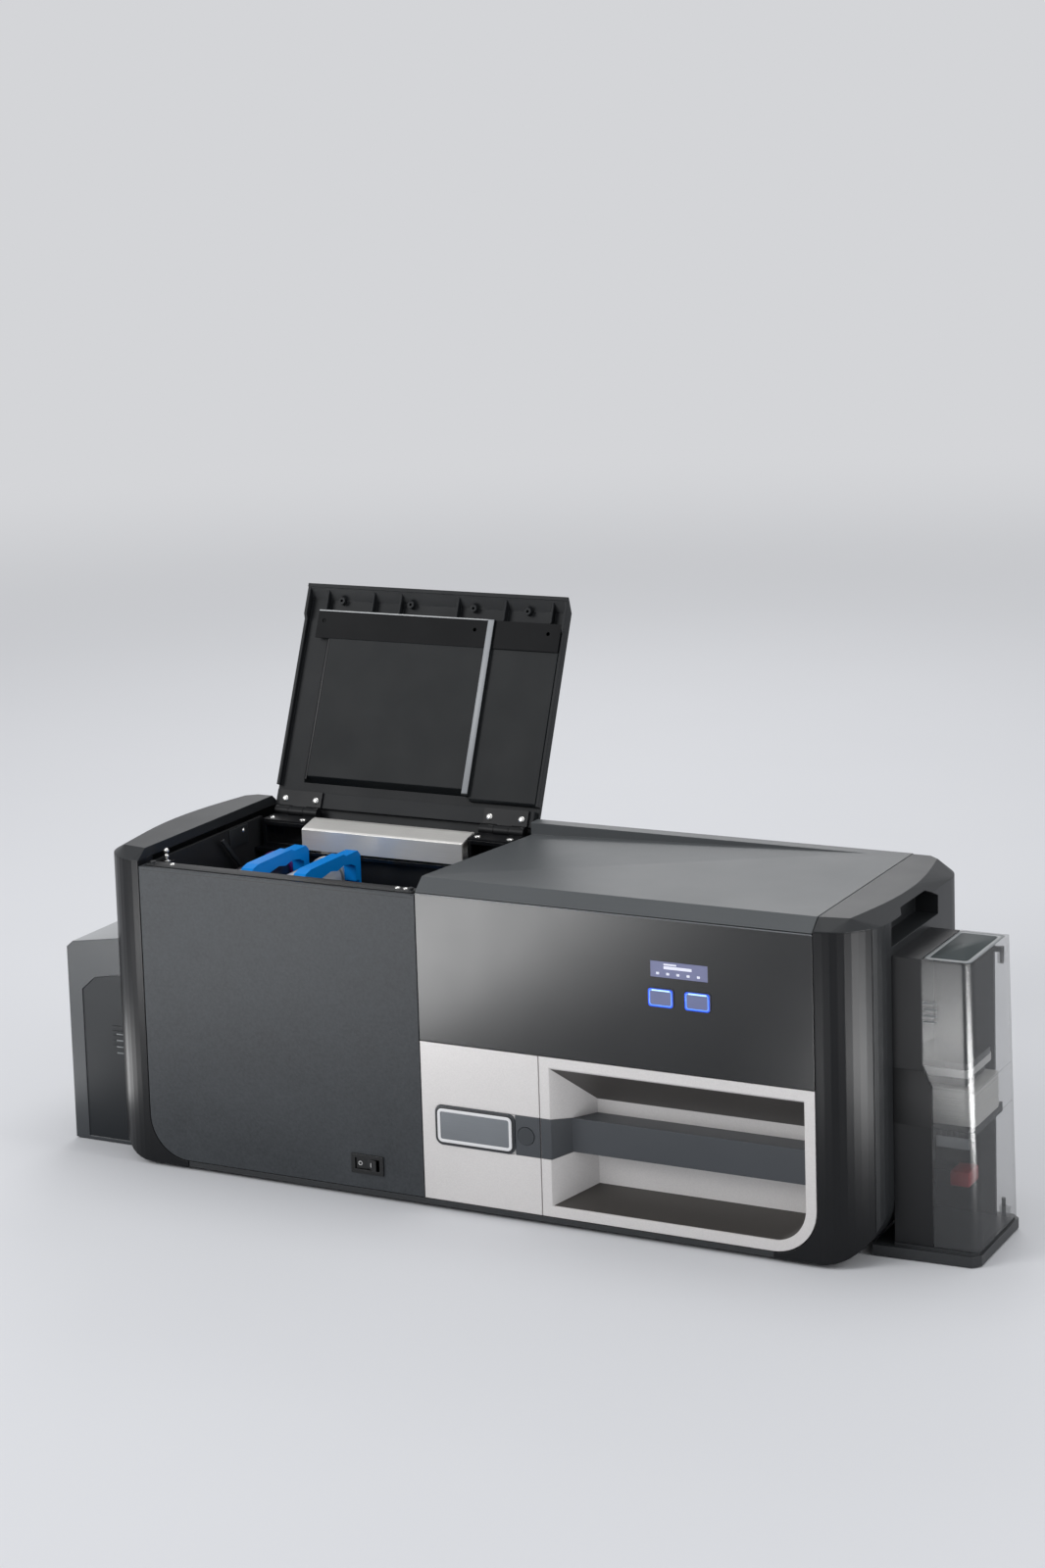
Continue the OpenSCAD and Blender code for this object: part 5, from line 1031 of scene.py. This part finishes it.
@dataclass
class Studio:
    """Pale floor that runs into a pale backdrop, soft lamps, and the photograph's camera."""

    floor_radius_m: float = 30.0
    backdrop: str = "#d4d5d8"
    floor_colour: str = "#e4e5e8"
    sky: str = "#f1f3f7"
    sky_strength: float = 0.5
    blend_start_m: float = 0.8
    blend_end_m: float = 4.5
    lens_mm: float = 72.87
    shift_y: float = -0.15
    camera_place: Point = (1.0953, -2.1293, 0.8491)
    camera_forward: Point = (-0.4557, 0.8773, -0.1508)
    camera_right: Point = (0.8891, 0.4566, -0.0302)

    def build(self) -> None:
        """Builds the floor, world, lamps and camera."""
        self._floor()
        self._world()
        self._lamps()
        self._camera()

    @staticmethod
    def _seen(tree: Tree) -> Socket:
        """Returns 1 for rays that show the background itself, straight or through gloss and glass."""
        path = add_node(tree, "LightPath")
        seen = path.outputs["Is Camera Ray"]
        for ray in ("Is Glossy Ray", "Is Transmission Ray"):
            seen = add_node(tree, "Math", {"operation": "MAXIMUM"}, {0: seen, 1: path.outputs[ray]}).outputs[0]
        return seen

    def _floor(self) -> None:
        """Builds a wide round floor that takes the backdrop's colour away from the object."""
        steps, radii = 96, (0.6, 1.2, 2.4, 4.8, 9.6, self.floor_radius_m)
        angles = [2 * math.pi * i / steps for i in range(steps)]
        vertices = [(0, 0, 0)] + [(r * math.cos(a), r * math.sin(a), 0) for r in radii for a in angles]
        faces = [[0, 1 + i, 1 + (i + 1) % steps] for i in range(steps)]
        for k in range(len(radii) - 1):
            for i in range(steps):
                inner, outer, j = 1 + k * steps, 1 + (k + 1) * steps, (i + 1) % steps
                faces.append([inner + i, outer + i, outer + j, inner + j])
        mesh = bpy.data.meshes.new("studio_floor")
        mesh.from_pydata(vertices, [], faces)
        mesh.materials.append(self._floor_material())
        floor = bpy.data.objects.new("studio_floor", mesh)
        bpy.context.scene.collection.objects.link(floor)

    def _floor_material(self) -> bpy.types.Material:
        """Builds the painted floor: matt near the object, the backdrop's own colour far from it."""
        material = bpy.data.materials.new("painted_studio_floor")
        material.use_nodes = True
        tree = material.node_tree
        tree.nodes.clear()
        place = add_node(tree, "TexCoord").outputs["Object"]
        noise = add_node(tree, "TexNoise", {"Scale": 3.0, "Detail": 2.0}, {"Vector": place})
        ramp = add_node(tree, "ValToRGB", {}, {"Fac": noise.outputs["Fac"]})
        ramp.color_ramp.elements[0].color = shade(self.floor_colour, 0.985)
        ramp.color_ramp.elements[1].color = shade(self.floor_colour, 1.015)
        paint = add_node(
            tree, "BsdfPrincipled", {"Roughness": 0.8, "IOR": 1.3}, {"Base Color": ramp.outputs["Color"]}
        )
        glow = add_node(tree, "Emission", {"Strength": 1.0, "Color": linear(self.backdrop)})
        distance = add_node(tree, "VectorMath", {"operation": "LENGTH"}, {0: place}).outputs["Value"]
        far = add_node(
            tree, "MapRange",
            {"interpolation_type": "SMOOTHSTEP", "From Min": self.blend_start_m, "From Max": self.blend_end_m},
            {"Value": distance},
        ).outputs["Result"]
        share = add_node(tree, "Math", {"operation": "MULTIPLY"}, {0: far, 1: self._seen(tree)}).outputs[0]
        mix = add_node(
            tree, "MixShader", {}, {0: share, 1: paint.outputs["BSDF"], 2: glow.outputs["Emission"]}
        )
        add_node(tree, "OutputMaterial", {}, {"Surface": mix.outputs["Shader"]})
        return material

    def _world(self) -> None:
        """Lights the room evenly, and shows the pale backdrop where the room itself is seen."""
        world = bpy.data.worlds.new("studio_air")
        bpy.context.scene.world = world
        world.use_nodes = True
        tree = world.node_tree
        tree.nodes.clear()
        sky = add_node(tree, "Background", {"Strength": self.sky_strength, "Color": linear(self.sky)})
        shown = add_node(tree, "Background", {"Strength": 1.0, "Color": linear(self.backdrop)})
        mix = add_node(
            tree, "MixShader", {},
            {0: self._seen(tree), 1: sky.outputs["Background"], 2: shown.outputs["Background"]},
        )
        add_node(tree, "OutputWorld", {}, {"Surface": mix.outputs["Shader"]})

    def _lamps(self) -> None:
        """Hangs the soft boxes, and lays the cards that the gloss panel, the pillars and the hopper mirror."""
        self._lamp("key", (-1.7, -2.0, 1.7), (0.0, 0.0, 0.15), 1.4, 1.2, 34)
        self._lamp("strip_right", (1.9, -0.2, 0.9), (0.2, 0.0, 0.15), 0.3, 1.4, 7)
        self._lamp("overhead", (0.1, 0.3, 2.4), (0.0, 0.0, 0.1), 1.8, 1.0, 12)
        self._lamp("rear", (-0.9, 2.0, 1.5), (0.0, 0.2, 0.25), 1.2, 0.8, 9)
        self._card("card_left", (-0.52, -0.82), 0.56, 0.7, 13)
        self._card("card_side", (-0.52, -0.12), 0.2, 0.3, 0.7)
        self._card("card_right", (0.75, -0.3), 0.35, 0.4, 8)
        self._card("card_hopper", (0.2, -0.58), 0.12, 0.24, 0.7)

    def _card(self, name: str, place: tuple[float, float], width: float, height: float, power: float) -> None:
        """Lays a bright card on the floor, which only glossy surfaces mirror."""
        x, y = place
        lamp = self._lamp(name, (x, y, 0.012), (x, y, 1.0), width, height, power)
        lamp.visible_diffuse = False

    @staticmethod
    def _lamp(name: str, place: Point, aim: Point, width: float, height: float, power: float) -> Piece:
        """Makes one rectangular soft box of a given power in watts, itself out of sight, and returns it."""
        data = bpy.data.lights.new(name, "AREA")
        data.shape = "RECTANGLE"
        data.size, data.size_y, data.energy = width, height, power
        lamp = bpy.data.objects.new(name, data)
        lamp.location = place
        lamp.rotation_mode = "QUATERNION"
        lamp.rotation_quaternion = (Vector(aim) - Vector(place)).to_track_quat("-Z", "Y")
        lamp.visible_camera = False
        bpy.context.scene.collection.objects.link(lamp)
        return lamp

    def _camera(self) -> None:
        """Puts the camera where the photograph was taken from."""
        data = bpy.data.cameras.new("camera")
        data.sensor_width = 36.0
        data.lens = self.lens_mm
        data.shift_y = self.shift_y
        data.clip_start, data.clip_end = 0.05, 80.0
        back = -Vector(self.camera_forward).normalized()
        right = Vector(self.camera_right).normalized()
        up = back.cross(right).normalized()
        camera = bpy.data.objects.new("camera", data)
        camera.rotation_mode = "QUATERNION"
        camera.rotation_quaternion = Matrix((right, up, back)).transposed().to_quaternion()
        camera.location = self.camera_place
        bpy.context.scene.collection.objects.link(camera)
        bpy.context.scene.camera = camera
        bpy.context.scene.view_settings.view_transform = "Standard"


def main() -> None:
    """Builds every sub-assembly in order and reports each piece."""
    logging.basicConfig(level=logging.INFO, format="%(name)s: %(message)s")
    for start_object in list(bpy.data.objects):
        bpy.data.objects.remove(start_object)
    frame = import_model()
    layout = Layout(frame)
    Studio().build()
    CarriedNodes().dress(frame)
    assemblies = (FrontDetails(layout), GripRecess(layout), HopperDetails(layout), OutputDetails(layout),
                  LidDetails(layout), BayDetails(layout), RollFlanges(layout))
    for assembly in assemblies:
        for piece in assembly.build():
            LOG.info("built %s", piece.name)


if __name__ == "__main__":
    main()
